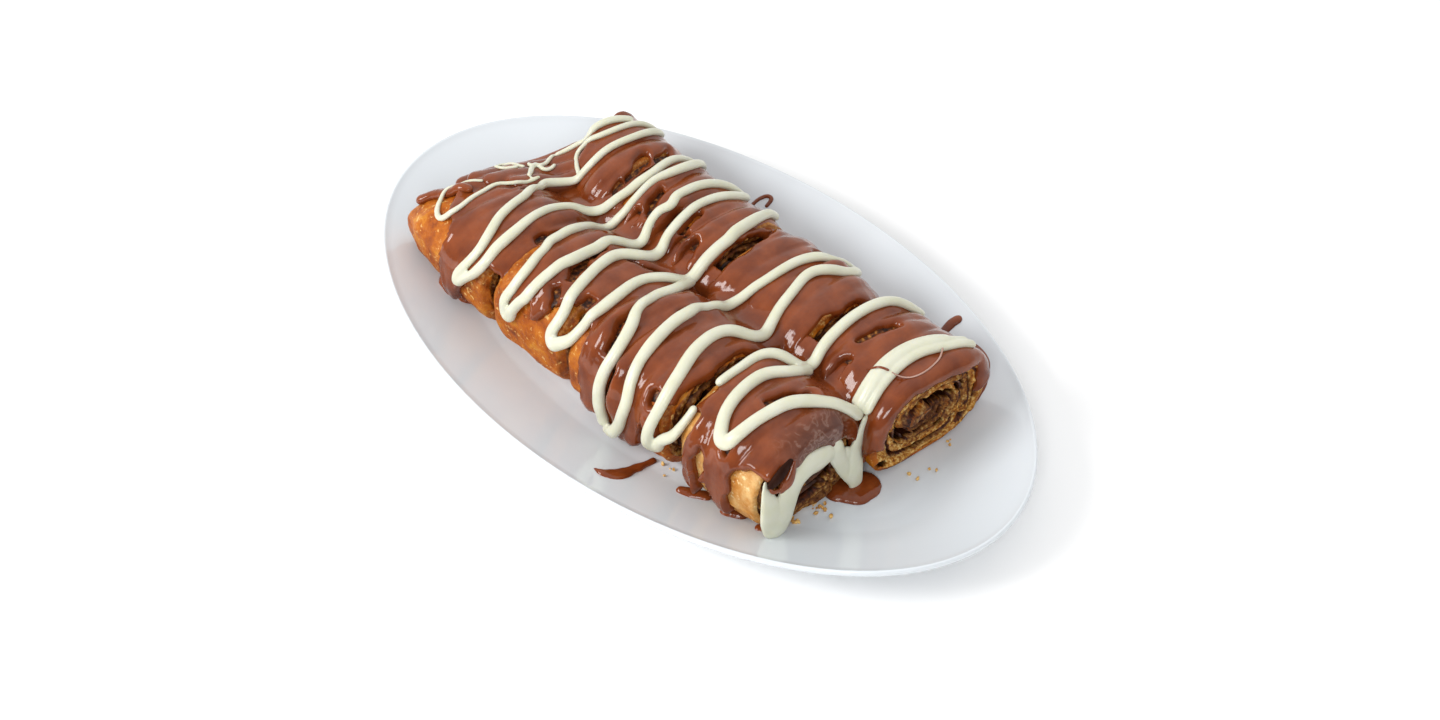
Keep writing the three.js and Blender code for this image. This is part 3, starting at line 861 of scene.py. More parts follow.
        bumps = wave.at(angle / 50, x / 13) * 0.45 + fine.at(angle / 9,
                                                             x / 4.5) * 0.3 + fine.at(angle / 4 + 7,
                                                                                      x / 2.1) * 0.12
        shrink = self.rounded(x - first, self.rounding[0]) + self.rounded(last - x, self.rounding[1])
        skin = self.outline.place(x, angle, 1.0, bumps - shrink)
        rows.insert(1, skin)
        edge = np.exp(-np.minimum(x - first, last - x) / 1.2)
        gap_side = last - x if not self.open_end else last - first + 0 * x
        gap = np.exp(-np.minimum(x - first, gap_side) / 2.4) * np.clip(1.6 * np.sin(np.radians(angle)), 0, 1)
        values["browned"].insert(1, np.clip(1 - 0.25 * edge - 0.9 * gap, 0, 1))
        values["soaked_and_shade"].insert(1, 0.25 * edge)
        values["cocoa_and_shade"].insert(1, gap)
        values["painted_recess_shade"].insert(1, 0 * x)
        piece = lofted(name, np.concatenate(rows))
        for key, lists in values.items():
            mark(piece, key, np.append(np.concatenate(lists).ravel(), [0.5, 0.5]))
        return piece

    @staticmethod
    def rounded(inside: Array, radius: float) -> Array:
        """How much the roll shrinks near an end that rounds off.

        Args:
            inside: distance from the end, in mm.
            radius: the rounding's radius.

        Returns:
            The amounts in mm.
        """
        near = np.clip(radius - inside, 0, radius)
        return radius - np.sqrt(np.maximum(radius**2 - near**2, 0))

    def spread(self, name: str) -> bpy.types.Object:
        """The layer of filling, which follows the sheet inwards.

        Args:
            name: the piece's name.

        Returns:
            The piece.
        """
        turned = np.linspace(0.05, self.turns - 1, int(44 * self.turns))
        first, last = self.outline.x[0], self.outline.x[-1]
        along = np.linspace(0, 1, 16)
        shares = np.concatenate([along, [1.0], along[::-1], [0.0]])
        depths = np.concatenate([np.zeros(16), [0.5], np.ones(16), [0.5]])
        t, share = np.meshgrid(turned, shares, indexing="ij")
        angle = self.start + 360 * t
        noise = Noise(self.seed + 8)
        back = 1.7 + 1.2 * noise.at(t * 9, 3.5 * (share > 0.5))
        _, half, top, _ = self.outline.section((first + last) / 2)
        unit = 2 / (half + (top - FLOOR) / 2)
        x = first + back + (last - first - 2 * back) * share
        deep = self.inwards(np.maximum(t, 1.0)) * (t >= 1)
        deep = deep + self.sheet + 0.1 + depths * (self.pitch - self.sheet - 0.2)
        tight = np.where(share < 0.5, self.rounding[0], self.rounding[1])
        tight = tight * np.clip(abs(share - 0.5) * 4 - 1, 0, 1)
        points = self.outline.place(x, angle, 1 - deep * unit, -tight * np.clip(1 - deep * unit, 0, 1))
        return lofted(name, points)

    def build(self, crepe: bpy.types.Material, filling: bpy.types.Material) -> list[bpy.types.Object]:
        """Builds and dresses the rolled sheet and the filling.

        Args:
            crepe: the sheet's finish.
            filling: the filling's finish.

        Returns:
            Both pieces.
        """
        pieces = [self.body(f"rolled_crepe_{self.name}"), self.spread(f"chocolate_filling_{self.name}")]
        for piece, material, node in zip(pieces, (crepe, filling), ("crepe", "filling")):
            piece.data.materials.append(material)
            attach(piece, "root")
            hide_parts(f"{node}_{self.name}")
        return pieces


ROUNDING = {"A1": (4.0, 2.5), "A2": (7.0, 2.5), "A3": (5.0, 2.0), "A4": (8.0, 1.2), "B1": (3.0, 2.5),
            "B2": (6.0, 2.0), "B3": (5.0, 2.0), "B4": (6.0, 1.2)}
OPEN_ENDS = ("A4", "B4")
HOLLOWS = {
    "B4": (Hollow(26.3, 31.6, 8.2, 2.9, -19, 8), Hollow(8.2, 24, 5.4, 2.9, -44, 6),
           Hollow(35.5, 31.5, 3.6, 2.0, -50, 5),
           Hollow(26.8, 18.4, 2.2, 1.6, 0, 4), Hollow(0.5, 13.5, 2.6, 1.8, -30, 4),
           Hollow(14.5, 30.3, 8.5, 3.0, 10, -2.6),
           Hollow(10, 24.5, 3.6, 2.4, -50, -2.0)),
    "A4": (Hollow(-27, 17, 8, 4, 20, 7), Hollow(-19, 21, 5, 3, -40, 6), Hollow(-24, 9, 8, 1.6, 10, -2.0)),
    "A3": (Hollow(-38, 30, 8, 3, 50, 5),),
    "B3": (Hollow(14, 33, 8, 3, 30, 5),),
    "B2": (Hollow(14, 34, 8, 3, 20, 5),),
}


# ------------------------------------------------------------------ the poured sauce


@dataclass(frozen=True)
class Slit:
    """A bare place in the sauce: a round-ended strip between two places (x, angle)."""

    start: tuple[float, float]
    end: tuple[float, float]
    width: float
    bare: bool = False  # whether the gap between two rolls shows, with no coat under the slit


@dataclass(frozen=True)
class Drip:
    """A finger of sauce that runs down from the sheet: x, its lowest angle and its width."""

    x: float
    angle: float
    width: float
    slant: float = 0.0


@dataclass
class SauceSheet:
    """The milk chocolate over one row: a sheet of merging strands with bare slits and drips."""

    row: Row
    edge_front: Sequence[tuple[float, float]]  # x and angle of its lower edge in front
    edge_back: Sequence[tuple[float, float]]
    ends: tuple[Sequence[tuple[float, float]], Sequence[tuple[float, float]]]  # angle and x of both ends
    slits: Sequence[Slit]
    drips: Sequence[Drip]
    fill: Sequence[tuple[float, float]] = ()  # x and height of the sauce between the rows
    spacing: float = 0.75
    depth: float = 1.3
    strand: float = 2.3  # how far a poured strand stands up
    strand_spacing: float = 7.0
    dips: Sequence[tuple[float, float, float]] = ()  # x, depth and half width where it sinks into a gap
    wrap: tuple[float, float] = (3.0, 3.0)  # rounding of the left and right ends
    seed: int = 3

    def __post_init__(self) -> None:
        """Works out the surface that the sauce lies on."""
        self.shape = ROWS[self.row]
        self.base_surface()

    def base_surface(self) -> None:
        """Lays a grid over the row: along x, and down from its crest on both sides."""
        first, last = self.shape.x[0], self.shape.x[-1]
        self.u = np.arange(first - 5, last + 14, self.spacing)
        reach = (-62.0, 62.0)
        self.s = np.arange(reach[0], reach[1], self.spacing)
        self.base = np.zeros((len(self.u), len(self.s), 3))
        self.angle = np.zeros((len(self.u), len(self.s)))
        self.room = np.zeros((len(self.u), len(self.s)))
        self.past = np.zeros((len(self.u), len(self.s)))  # distance from the far edge
        for i, u in enumerate(self.u):
            line, degrees = self.profile(u)
            step = np.linalg.norm(np.diff(line, axis=0), axis=1)
            run = np.concatenate([[0], np.cumsum(step)])
            run -= np.interp(-CREST, -degrees, run)
            for axis in range(3):
                self.base[i, :, axis] = np.interp(-self.s, run, line[:, axis])
            self.angle[i] = np.interp(-self.s, run, degrees)
            self.past[i] = run[-1] + self.s
            self.room[i] = np.minimum(-self.s - run[0], self.past[i])
        along = np.gradient(self.base, self.spacing, axis=0)
        down = np.gradient(self.base, self.spacing, axis=1)
        normal = np.cross(down, along)
        length = np.linalg.norm(normal, axis=2, keepdims=True)
        self.normal = normal / np.maximum(length, 1e-6)

    def profile(self, u: float) -> tuple[Array, Array]:
        """The line that the sauce follows across the row, from its near side over the crest.

        Args:
            u: place along the sheet. Past an end of the row the sheet turns down over it.

        Returns:
            The points, and the angle round the roll of each.
        """
        x, shrink = self.over_end(u)
        shrink += sum(deep * math.exp(-(((x - place) / wide) ** 2)) for place, deep, wide in self.dips)
        degrees = np.linspace(218, CREST, 150)
        near = self.shape.place(np.full(150, x), degrees, grow=-shrink)
        if self.row is Row.BACK:
            behind = np.linspace(CREST, -40, 150)[1:]
            rest = self.shape.place(np.full(149, x), behind, grow=-shrink)
            return np.concatenate([near, rest]), np.concatenate([degrees, behind])
        middle, half, top, lean = (float(v) for v in self.shape.section(x))
        across = np.linspace(middle, self.shelf_end(x), 170)[1:]
        share = np.clip((across - middle) / (half - shrink), 0, 1)
        high = (top - FLOOR) / 2 - shrink
        own = (top + FLOOR) / 2 + high * np.sqrt(np.maximum(1 - share**POWER_ABOVE, 0))
        own = np.where(share >= 1, (top + FLOOR) / 2 - 8, own)
        height = smooth_max(own, self.other_side(x, across), 1.3)
        height = smooth_max(height, np.full(169, np.interp(x, *zip(*self.fill))), 2.2)
        rest = np.stack([x + lean * (across - middle), across, height], -1)
        turn = np.degrees(np.arccos(share ** (POWER_ABOVE / 2)))
        past = np.where(share >= 1, -(across - middle - half), 0)
        return np.concatenate([near, rest]), np.concatenate([degrees, turn + past])

    def over_end(self, u: float) -> tuple[float, float]:
        """Where a place along the sheet lies on a row whose ends it turns down over.

        Args:
            u: place along the sheet.

        Returns:
            x, and how far inwards.
        """
        first, last = self.shape.x[0], self.shape.x[-1]
        for end, radius, way in ((first, self.wrap[0], -1), (last, self.wrap[1], 1)):
            past = way * (u - end) + radius
            if past <= 0:
                continue
            turn = min(past / radius, math.pi / 2)
            x = end - way * radius * (1 - math.sin(turn))
            return x, radius * (1 - math.cos(turn)) + max(0, past - radius * math.pi / 2)
        return u, 0.0

    @staticmethod
    def shelf_end(x: float) -> float:
        """How far behind the front row its sauce reaches: onto the side of the other row."""
        middle, half, _, _ = (float(v) for v in ROWS[Row.BACK].section(x))
        return middle - half + 9

    @staticmethod
    def other_side(x: float, y: Array) -> Array:
        """The height of the other row's upper near side."""
        middle, half, top, _ = (float(v) for v in ROWS[Row.BACK].section(x))
        share = np.clip((middle - y) / half, 0, 1)
        high = (top - FLOOR) / 2
        side = (top + FLOOR) / 2 + high * np.sqrt(np.maximum(1 - share**POWER_ABOVE, 0)) + 0.6
        return np.where(y <= middle - half, (top + FLOOR) / 2 - 8, side)

    def down_at(self, x: float, degrees: float) -> float:
        """How far down from the crest an angle is at x, in mm."""
        i = int(np.argmin(np.abs(self.u - x)))
        return float(np.interp(-degrees, -self.angle[i][::-1], self.s[::-1]))

    def sauce_inside(self, slits: Sequence[Slit]) -> Array:
        """How far inside the sauce's outline each place is.

        Args:
            slits: the bare places in it.

        Returns:
            The distances in mm, below 0 where it is bare.
        """
        warp, wavy = Noise(self.seed), Noise(self.seed + 1)
        u, s = np.meshgrid(self.u, self.s, indexing="ij")
        uw = u + 1.1 * warp.at(u / 6, s / 6) + 0.5 * warp.at(u / 2.6 + 9, s / 2.6)
        sw = s + 1.1 * wavy.at(u / 6, s / 6) + 0.5 * wavy.at(u / 2.6 + 9, s / 2.6)
        front = np.array([self.down_at(x, a) for x, a in self.edge_front])
        back = np.array([self.down_at(x, a) for x, a in self.edge_back])
        inside = np.interp(uw, [x for x, _ in self.edge_front], front) - sw
        for drip in self.drips:
            end = self.down_at(drip.x, drip.angle) - drip.width / 2
            start = end - 26
            finger = capsule(uw, sw, (drip.x - drip.slant, start), (drip.x, end))
            swell = 1 + 0.25 * np.clip((sw - end + 4) / 4, 0, 1)
            inside = smooth_max(inside, drip.width / 2 * swell - finger, 0.8)
        inside = np.minimum(inside, sw - np.interp(uw, [x for x, _ in self.edge_back], back))
        for line, way in zip(self.ends, (1, -1)):
            angles, places = zip(*line)
            inside = np.minimum(inside, way * (uw - np.interp(self.angle, angles, places)))
        for slit in slits:
            a, b = ((x, self.down_at(x, angle)) for x, angle in (slit.start, slit.end))
            inside = np.minimum(inside, capsule(uw, sw, a, b) - slit.width / 2)
        return np.minimum(inside, self.room - 0.5)

    def thickness(self) -> Array:
        """How thick the sauce lies: poured strands side by side over a thinner coat."""
        random = np.random.default_rng(self.seed + 5)
        slow = Noise(self.seed + 2)
        u, s = np.meshgrid(self.u, self.s, indexing="ij")
        coat = self.depth + 0.35 * slow.at(u / 16, s / 16)
        calm = np.clip((self.angle - 25) / 30, 0.15,
                       1) if self.row is Row.FRONT else np.clip((self.angle + 5) / 70, 0.3, 1)
        rope = np.zeros_like(u)
        place = self.u[0]
        while place < self.u[-1]:
            wide = self.strand_spacing * random.uniform(0.4, 0.66)
            tall = self.strand * random.uniform(0.45, 1.1)
            slant, bend = random.uniform(-0.12, 0.12), random.uniform(-1.5, 1.5)
            line = place + slant * s + bend * np.sin(s / 14 + random.uniform(0, 6))
            fade = np.clip(0.75 + 0.6 * slow.at(s / 22 + place, place), 0.15, 1.2) * calm
            rope = smooth_max(rope, tall * fade * np.sqrt(np.maximum(1 - ((u - line) / wide) ** 2, 0)), 0.12)
            place += self.strand_spacing * random.uniform(0.6, 1.15)
        thick = coat + rope - 0.12 * math.log(2)
        if self.row is Row.FRONT:
            thick = thick * np.clip(self.past / 8, 0.15, 1)
        return thick

    def build(self, name: str) -> bpy.types.Object:
        """Builds the closed sheet, marbled with white above the drape on the last front cut."""
        piece = self.closed(name, self.sauce_inside(self.slits), self.thickness(), 1.9)
        points = np.empty(len(piece.data.vertices) * 3)
        piece.data.vertices.foreach_get("co", points)
        x, y, z = points.reshape(-1, 3).T / MM
        edge = np.clip((x - 81) / 8, 0, 1) * np.clip((z - 28) / 8, 0, 1)
        mark(piece, "marbled", 0.85 * edge * np.clip((y + 46) / 12, 0, 1) * np.clip((-8 - y) / 6, 0, 1))
        return piece

    def undercoat(self, name: str) -> bpy.types.Object:
        """Builds the thin coat under the sheet, which shows down its slits, dark as chocolate-wet crepe and
        as painted shade.
        """
        inside = self.sauce_inside([slit for slit in self.slits if slit.bare]) - 1.2
        return self.closed(name, inside, np.full(inside.shape, 0.35), 0.8)

    def closed(self, name: str, inside: Array, thick: Array, radius: float) -> bpy.types.Object:
        """A closed piece from the sauce's outline and thickness.

        Args:
            name: the piece's name.
            inside: how far inside the outline each place is.
            thick: how thick it lies at each place.
            radius: the rounding of its edge.

        Returns:
            The piece.
        """
        bead = 1 + 0.35 * np.exp(-((inside / 3.0 - 0.6) ** 2))
        edge = np.clip(inside / radius, 0, 1)
        profile = np.sqrt(np.maximum(1 - (1 - edge) ** 2, 0))
        at_edge = self.snapped(inside)
        top = at_edge + self.normal * (thick * bead * profile)[..., None]
        bottom = at_edge - self.normal * (0.8 * np.minimum(profile * 1.5, 1))[..., None]
        kept = inside > 0
        cells = kept[:-1, :-1] | kept[1:, :-1] | kept[:-1, 1:] | kept[1:, 1:]
        return closed_sheet(name, top, bottom, cells)

    def snapped(self, inside: Array) -> Array:
        """The base grid with the places just outside the outline drawn in onto it."""
        gi, gj = np.gradient(inside)
        size = np.maximum(gi**2 + gj**2, 1e-3)
        outside = inside < 0
        di = np.where(outside, np.clip(-inside * gi / size, -1.2, 1.2), 0)
        dj = np.where(outside, np.clip(-inside * gj / size, -1.2, 1.2), 0)
        i, j = np.indices(inside.shape)
        return sampled(self.base, i + di, j + dj)


def sampled(grid: Array, i: Array, j: Array) -> Array:
    """Values of a grid between its places, by straight blends."""
    i = np.clip(i, 0, grid.shape[0] - 1.001)
    j = np.clip(j, 0, grid.shape[1] - 1.001)
    i0, j0 = np.floor(i).astype(int), np.floor(j).astype(int)
    a, b = (i - i0)[..., None], (j - j0)[..., None]
    low = grid[i0, j0] * (1 - a) + grid[i0 + 1, j0] * a
    high = grid[i0, j0 + 1] * (1 - a) + grid[i0 + 1, j0 + 1] * a
    return low * (1 - b) + high * b


def capsule(u: Array, s: Array, a: tuple[float, float], b: tuple[float, float]) -> Array:
    """The distance to the line between two places on the sheet."""
    du, ds = b[0] - a[0], b[1] - a[1]
    share = np.clip(((u - a[0]) * du + (s - a[1]) * ds) / max(du * du + ds * ds, 1e-6), 0, 1)
    return np.hypot(u - a[0] - share * du, s - a[1] - share * ds)


def closed_sheet(name: str, top: Array, bottom: Array, cells: Array) -> bpy.types.Object:
    """A closed piece from an upper and a lower grid that share the rim of the kept cells.

    Args:
        name: the piece's name.
        top: the upper grid of points.
        bottom: the lower grid.
        cells: which cells of the grid are kept.

    Returns:
        The piece.
    """
    rows, columns = top.shape[:2]
    i, j = np.nonzero(cells)
    corners = [i * columns + j, (i + 1) * columns + j, (i + 1) * columns + j + 1, i * columns + j + 1]
    quads = np.stack(corners, -1)
    padded = np.pad(cells, 1)
    around = padded[:-1, :-1] & padded[1:, :-1] & padded[:-1, 1:] & padded[1:, 1:]
    lower = np.arange(rows * columns)
    lower = np.where(around.ravel(), lower + rows * columns, lower)
    points = np.concatenate([top.reshape(-1, 3), bottom.reshape(-1, 3)])
    faces = np.concatenate([quads, lower[quads][:, ::-1]])
    used, faces = np.unique(faces, return_inverse=True)
    piece = mesh_piece(name, points[used], faces.reshape(-1, 4))
    outward(piece)
    return piece


FRONT_FILL = ((-108, 26), (-100, 31), (-90, 33), (-76, 34), (-64, 36), (-56, 37), (-48, 33), (-42, 38),
              (-20, 38),
              (-6, 37), (3, 32), (10, 37), (25, 39), (42, 38), (50, 27), (56, 27), (62, 36), (75, 37),
              (84, 33),
              (88, 24), (92, 12))

FRONT_SAUCE = dict(
    edge_front=((-106, 118), (-100, 118), (-92, 122), (-84, 129), (-80, 138), (-78.5, 160), (-77.5, 186),
                (-75, 206), (-71, 198), (-64, 166),
                (-58, 150), (-53, 145), (-49, 150), (-47, 138), (-43, 150), (-40, 162), (-37, 150),
                (-32, 144),
                (-27, 156), (-24, 146), (-20, 128), (-12, 124), (-3, 132), (0, 168), (2, 212), (28, 212),
                (30, 208),
                (35, 172), (38, 178), (42, 146), (48, 130), (52, 148), (54, 176), (56, 212), (60, 212),
                (61, 180),
                (62, 158), (66, 180), (69, 212), (74, 212), (76.5, 178), (80, 152), (86, 150), (96, 160)),
    edge_back=((-110, 40), (-106, 20), (-102, -6), (-98, -16), (-92, -22), (-90, -30), (-60, -40),
               (100, -40)),
    ends=(((-60, -108), (0, -106), (60, -104), (95, -99), (110, -92), (140, -83), (185, -90), (215, -90)),
          ((-60, 86), (0, 92), (40, 96), (60, 99), (80, 100), (100, 98.5), (114, 95), (126, 90),
           (150, 88.5), (215, 88.5))),
    slits=(Slit((-85, 76), (-86, 66), 1.8), Slit((-81, 62), (-83, 44), 3.2), Slit((-50, 56), (-51, 46), 4.4),
           Slit((-53, 95), (-50, 74), 2.4), Slit((-46.5, 141), (-46.5, 106), 6.4, True),
           Slit((-25, 108), (-30, 88), 2.6), Slit((-29, 84), (-30, 74), 1.8),
           Slit((-26, 122), (-23, 136), 2.4),
           Slit((-14, 124), (-13, 110), 2.2), Slit((-19, 60), (-11, 40), 3.0), Slit((9, 138), (4, 100), 2.0),
           Slit((15.5, 178), (16, 150), 3.0), Slit((36, 151), (36, 140), 2.2), Slit((16, 76), (18, 59), 1.8),
           Slit((47.5, 150), (48, 57), 8.8, True), Slit((45.5, 216), (47, 150), 7.6, True),
           Slit((70.5, 94), (75.5, 64), 2.4), Slit((53.5, 180), (54, 138), 3.0),
           Slit((72, 147), (72, 142), 2.0)),
    drips=(Drip(-75, 214, 7.0), Drip(-49, 152, 3.5), Drip(-40, 166, 4.0),
           Drip(-27, 158, 4.5), Drip(3, 215, 6.0), Drip(12, 215, 7.0), Drip(22, 215, 7.0), Drip(39, 182, 4.0),
           Drip(57.5, 215, 5.5, 1.0), Drip(66, 184, 4.0), Drip(72, 215, 6.5, -1.0)),
    fill=FRONT_FILL,
    dips=((-50, 2.5, 4), (-11, 1.5, 3.5), (47, 4.0, 5)),
    wrap=(2.0, 2.5),
    seed=3,
)

BACK_SAUCE = dict(
    edge_front=((-95, 118), (-90, 118), (-86, 122), (-80, 180), (84, 180), (86, 205), (94, 208), (97, 180),
                (104, 178)),
    edge_back=((-95, 60), (-88, 28), (-80, 8), (-70, -14), (-50, 2), (-30, -22), (-12, 4), (10, -18), (30, 6),
               (48, -16), (66, 2), (80, -20), (88, -34), (108, -34)),
    ends=(((-60, -86), (40, -88), (62, -88.5), (90, -87), (106, -88), (120, -83), (180, -80)),
          ((-40, 104), (10, 103), (36, 100), (52, 101), (75, 101), (86, 102), (101, 101), (110, 100.5),
           (123, 101), (160, 101), (190, 101), (215, 100))),
    slits=(Slit((-56, 77), (-57, 59), 1.8), Slit((-56, 107), (-58, 84), 2.2),
           Slit((-56, 126), (-56, 115), 1.8),
           Slit((-56, 143), (-56, 135), 1.8), Slit((-46, 144), (-47, 107), 4.0, True),
           Slit((-39, 150), (-39, 128), 2.2),
           Slit((-35, 124), (-39, 98), 2.2), Slit((-31, 150), (-32, 136), 1.8),
           Slit((-25, 139), (-25, 105), 2.2),
           Slit((-18, 119), (-18, 98), 2.0), Slit((-13, 150), (-15, 120), 2.6),
           Slit((-8, 148), (-9, 119), 2.2),
           Slit((4, 141), (4.5, 73), 7.6, True), Slit((55, 142), (56, 68), 7.2, True),
           Slit((73, 147), (74, 128), 2.0),
           Slit((70, 107), (72, 90), 2.0), Slit((72, 90), (74, 80), 2.2), Slit((24, 54), (30, 49), 2.4)),
    drips=(Drip(89, 212, 6.0),),
    dips=((-54, 2.5, 4), (2.5, 4.0, 5), (55.5, 4.0, 5)),
    wrap=(2.0, 2.5),
    seed=23,
)

# Strands of sauce that hang between the two rows at their left end: x, y, z and radius.
WEB_STRANDS = (
    ((-106, -22, 34.5, 3.0), (-105, -14, 33.5, 3.0), (-104, -5, 32, 3.0), (-101, 3, 30.5, 3.0),
     (-98, 11, 30.5, 3.0), (-95, 18, 32, 3.0), (-91, 25, 35, 3.0)),
    ((-100, -20, 39, 3.4), (-99, -10, 36, 3.4), (-97, 0, 33.5, 3.6), (-93, 9, 32.5, 3.6), (-89, 17, 34, 3.4),
     (-86, 24, 37.5, 3.0)),
    ((-93, -18, 41, 3.4), (-92, -8, 38, 3.6), (-90, 0, 35, 3.8), (-86, 8, 34, 3.8), (-82, 15, 36, 3.4)),
    ((-86, -12, 41, 3.0), (-84, -3, 37, 3.8), (-80, 4, 34.5, 3.8), (-77, 11, 36, 3.2)),
)


# ------------------------------------------------------------------ cords of chocolate


@dataclass(frozen=True)
class Stop:
    """A place on a cord's route: on a row by x and angle, or straight below x and y."""

    row: Row | None
    x: float
    turn: float
    width: float = 1.0


A, B = Row.FRONT, Row.BACK


def stops(row: Row | None, *places: tuple) -> list[Stop]:
    """Stops on one row, from x and angle, with a width share where it isn't 1."""
    return [Stop(row, *place) for place in places]


def over(*places: tuple) -> list[Stop]:
    """Stops on whatever lies below, from x and y, with a width share where it isn't 1."""
    return stops(None, *places)


ZIGZAG_LEFT = [
    *stops(B, (-73.5, 151, 0.6), (-77, 147, 0.7), (-81.5, 146, 0.75), (-85, 140, 0.8), (-84, 126, 0.9),
           (-81, 108), (-79, 84), (-78, 50), (-75, 24), (-70, 48), (-69, 80),
           (-71, 108), (-71.5, 130), (-73, 150)),
    *over((-79, -1)),
    *stops(A, (-82, 53), (-74, 80), (-69, 103), (-65.3, 119), (-63.5, 136), (-64.5, 154), (-66.5, 170, 1.08),
           (-66, 179, 1.15), (-63, 171, 1.08), (-59, 150), (-58.5, 124), (-59, 92), (-61, 68), (-59, 48)),
    *stops(B, (-54, 146), (-52, 130), (-49.5, 114), (-49, 90), (-51, 50), (-48, 22), (-43, 48), (-41.5, 74),
           (-43.5, 105), (-45, 134)),
    *over((-46, -2)),
    *stops(A, (-49, 54), (-47, 76), (-45, 98), (-40.5, 121), (-41, 146), (-42.8, 163), (-41.8, 173, 1.05),
           (-39, 174.5, 1.05),
           (-37, 165), (-33.2, 143), (-31.7, 114), (-32.3, 86), (-31.8, 60)),
    *over((-27, -2)),
    *stops(B, (-28.5, 132), (-28.5, 108), (-29.5, 84), (-28, 52), (-24, 24), (-19.5, 48), (-21.5, 84),
           (-20.5, 108),
           (-19.5, 132)),
    *over((-18, -1)),
    *stops(A, (-21, 54), (-24.5, 70), (-22, 92), (-17, 122), (-17, 148), (-17, 161, 1.08), (-14, 168, 1.15),
           (-11, 158, 1.08), (-5.5, 124), (-5.5, 100), (-8, 76), (-5, 56)),
    *over((-1, -1)),
    *stops(B, (0, 138, 1.1), (0, 114, 1.2), (-1, 88, 1.2), (-4, 60, 1.1), (-6, 42), (-7, 28)),
]

ZIGZAG_MIDDLE = [
    *over((-1, 0)),
    *stops(A, (2.7, 60), (3.2, 82), (7.2, 100), (12.5, 126), (13.3, 150), (13.5, 176), (15.5, 194, 1.1)),
]

ZIGZAG_RIGHT = [
    *stops(A, (17, 204, 1.15), (23, 188, 1.05), (27.5, 166), (25.7, 145), (21.7, 114), (19.7, 92), (19.2, 70),
           (19.7, 54)),
    *over((20.5, 0)),
    *stops(B, (23, 130), (25, 104), (26, 78), (30, 54), (35, 24), (39, 52), (34, 84), (36.5, 108),
           (38.5, 134)),
    *over((41, -4)),
    *stops(A, (39.5, 54), (34.7, 74), (35.7, 98), (39.7, 122), (41, 150, 0.95), (39.3, 174, 0.92),
           (40, 184, 0.95),
           (43.8, 182, 0.92), (47.4, 169, 0.9), (49.2, 156, 0.88), (50.3, 143, 0.8), (51, 134, 0.7)),
]

ZIGZAG_END = [
    *stops(A, (51.5, 106, 0.8), (50, 88, 0.9), (50, 73), (54, 60)),
    *over((62, -5)),
    *stops(B, (63, 138, 1.1), (62, 114, 1.1), (62, 88, 1.1), (64, 60), (67, 44), (69, 30)),
]

ZIGZAG_LAST = [
    *over((64, -5)),
    *stops(A, (64, 60), (60, 80), (60.5, 100), (63.5, 122), (68, 137, 1.15), (71, 139.5, 1.25),
           (73.5, 131, 1.1),
           (74.5, 111), (76.5, 88), (82, 65), (86, 48)),
    *over((88, -4, 1.1)),
]

TIP_LOOP = [
    *stops(A, (-95, 84, 0.5), (-98, 97, 0.6), (-98, 113, 0.7), (-93, 126, 0.85), (-88.5, 134, 0.95),
           (-85.5, 130, 0.95), (-84.5, 116, 0.85), (-86.5, 104, 0.8), (-88.5, 92, 0.75), (-90.5, 82, 0.7),
           (-90, 75, 0.6), (-88, 71, 0.6), (-88, 62, 0.6), (-88.5, 54, 0.6)),
    *over((-82.5, -2, 0.5)),
]

RIM_CORD = [
    *stops(B, (-82, 62, 1.1), (-84, 80, 1.25), (-85.6, 98, 1.35), (-86.2, 112, 1.25), (-87, 125, 1.0)),
    *over((-89, 24.5, 0.9), (-91, 20.5, 1.0), (-93, 17, 0.9), (-94.5, 14, 0.7)),
]

TANGLE = [
    over((-94, -1, 0.6), (-99, -2, 0.65), (-104, -3, 0.6), (-105, -6.5, 0.6), (-102.5, -9, 0.65),
         (-98, -9, 0.65), (-94, -4, 0.7)),
    over((-94.5, 5, 0.7), (-91.5, 1, 0.85), (-88, -3, 0.8), (-84, -7, 0.6)),
    over((-95, 14, 0.7), (-91.5, 7.5, 0.75), (-91, 3.5, 0.75), (-87, 3, 0.65), (-86, 6, 0.65),
         (-88.5, 9.5, 0.6)),
    over((-96.5, 3, 0.6), (-93, 1, 0.8), (-93, 5.5, 0.8)),
]

TIP_STRAND = [*stops(A, (-92, 96, 0.9), (-97, 104, 1.1), (-102, 110, 1.2), (-106, 118, 1.1),
                     (-108, 128, 1.3))]

BAND_ROUTE = ((89, 150), (88.5, 136), (87.5, 122), (86.5, 106), (86.5, 90), (88.5, 74), (91, 58), (92, 46))
BAND_RIBS = ((0.4, 2.5, 8), (3.2, 2.1, 8), (-1.8, 1.8, 7))  # offset, half width and stops used

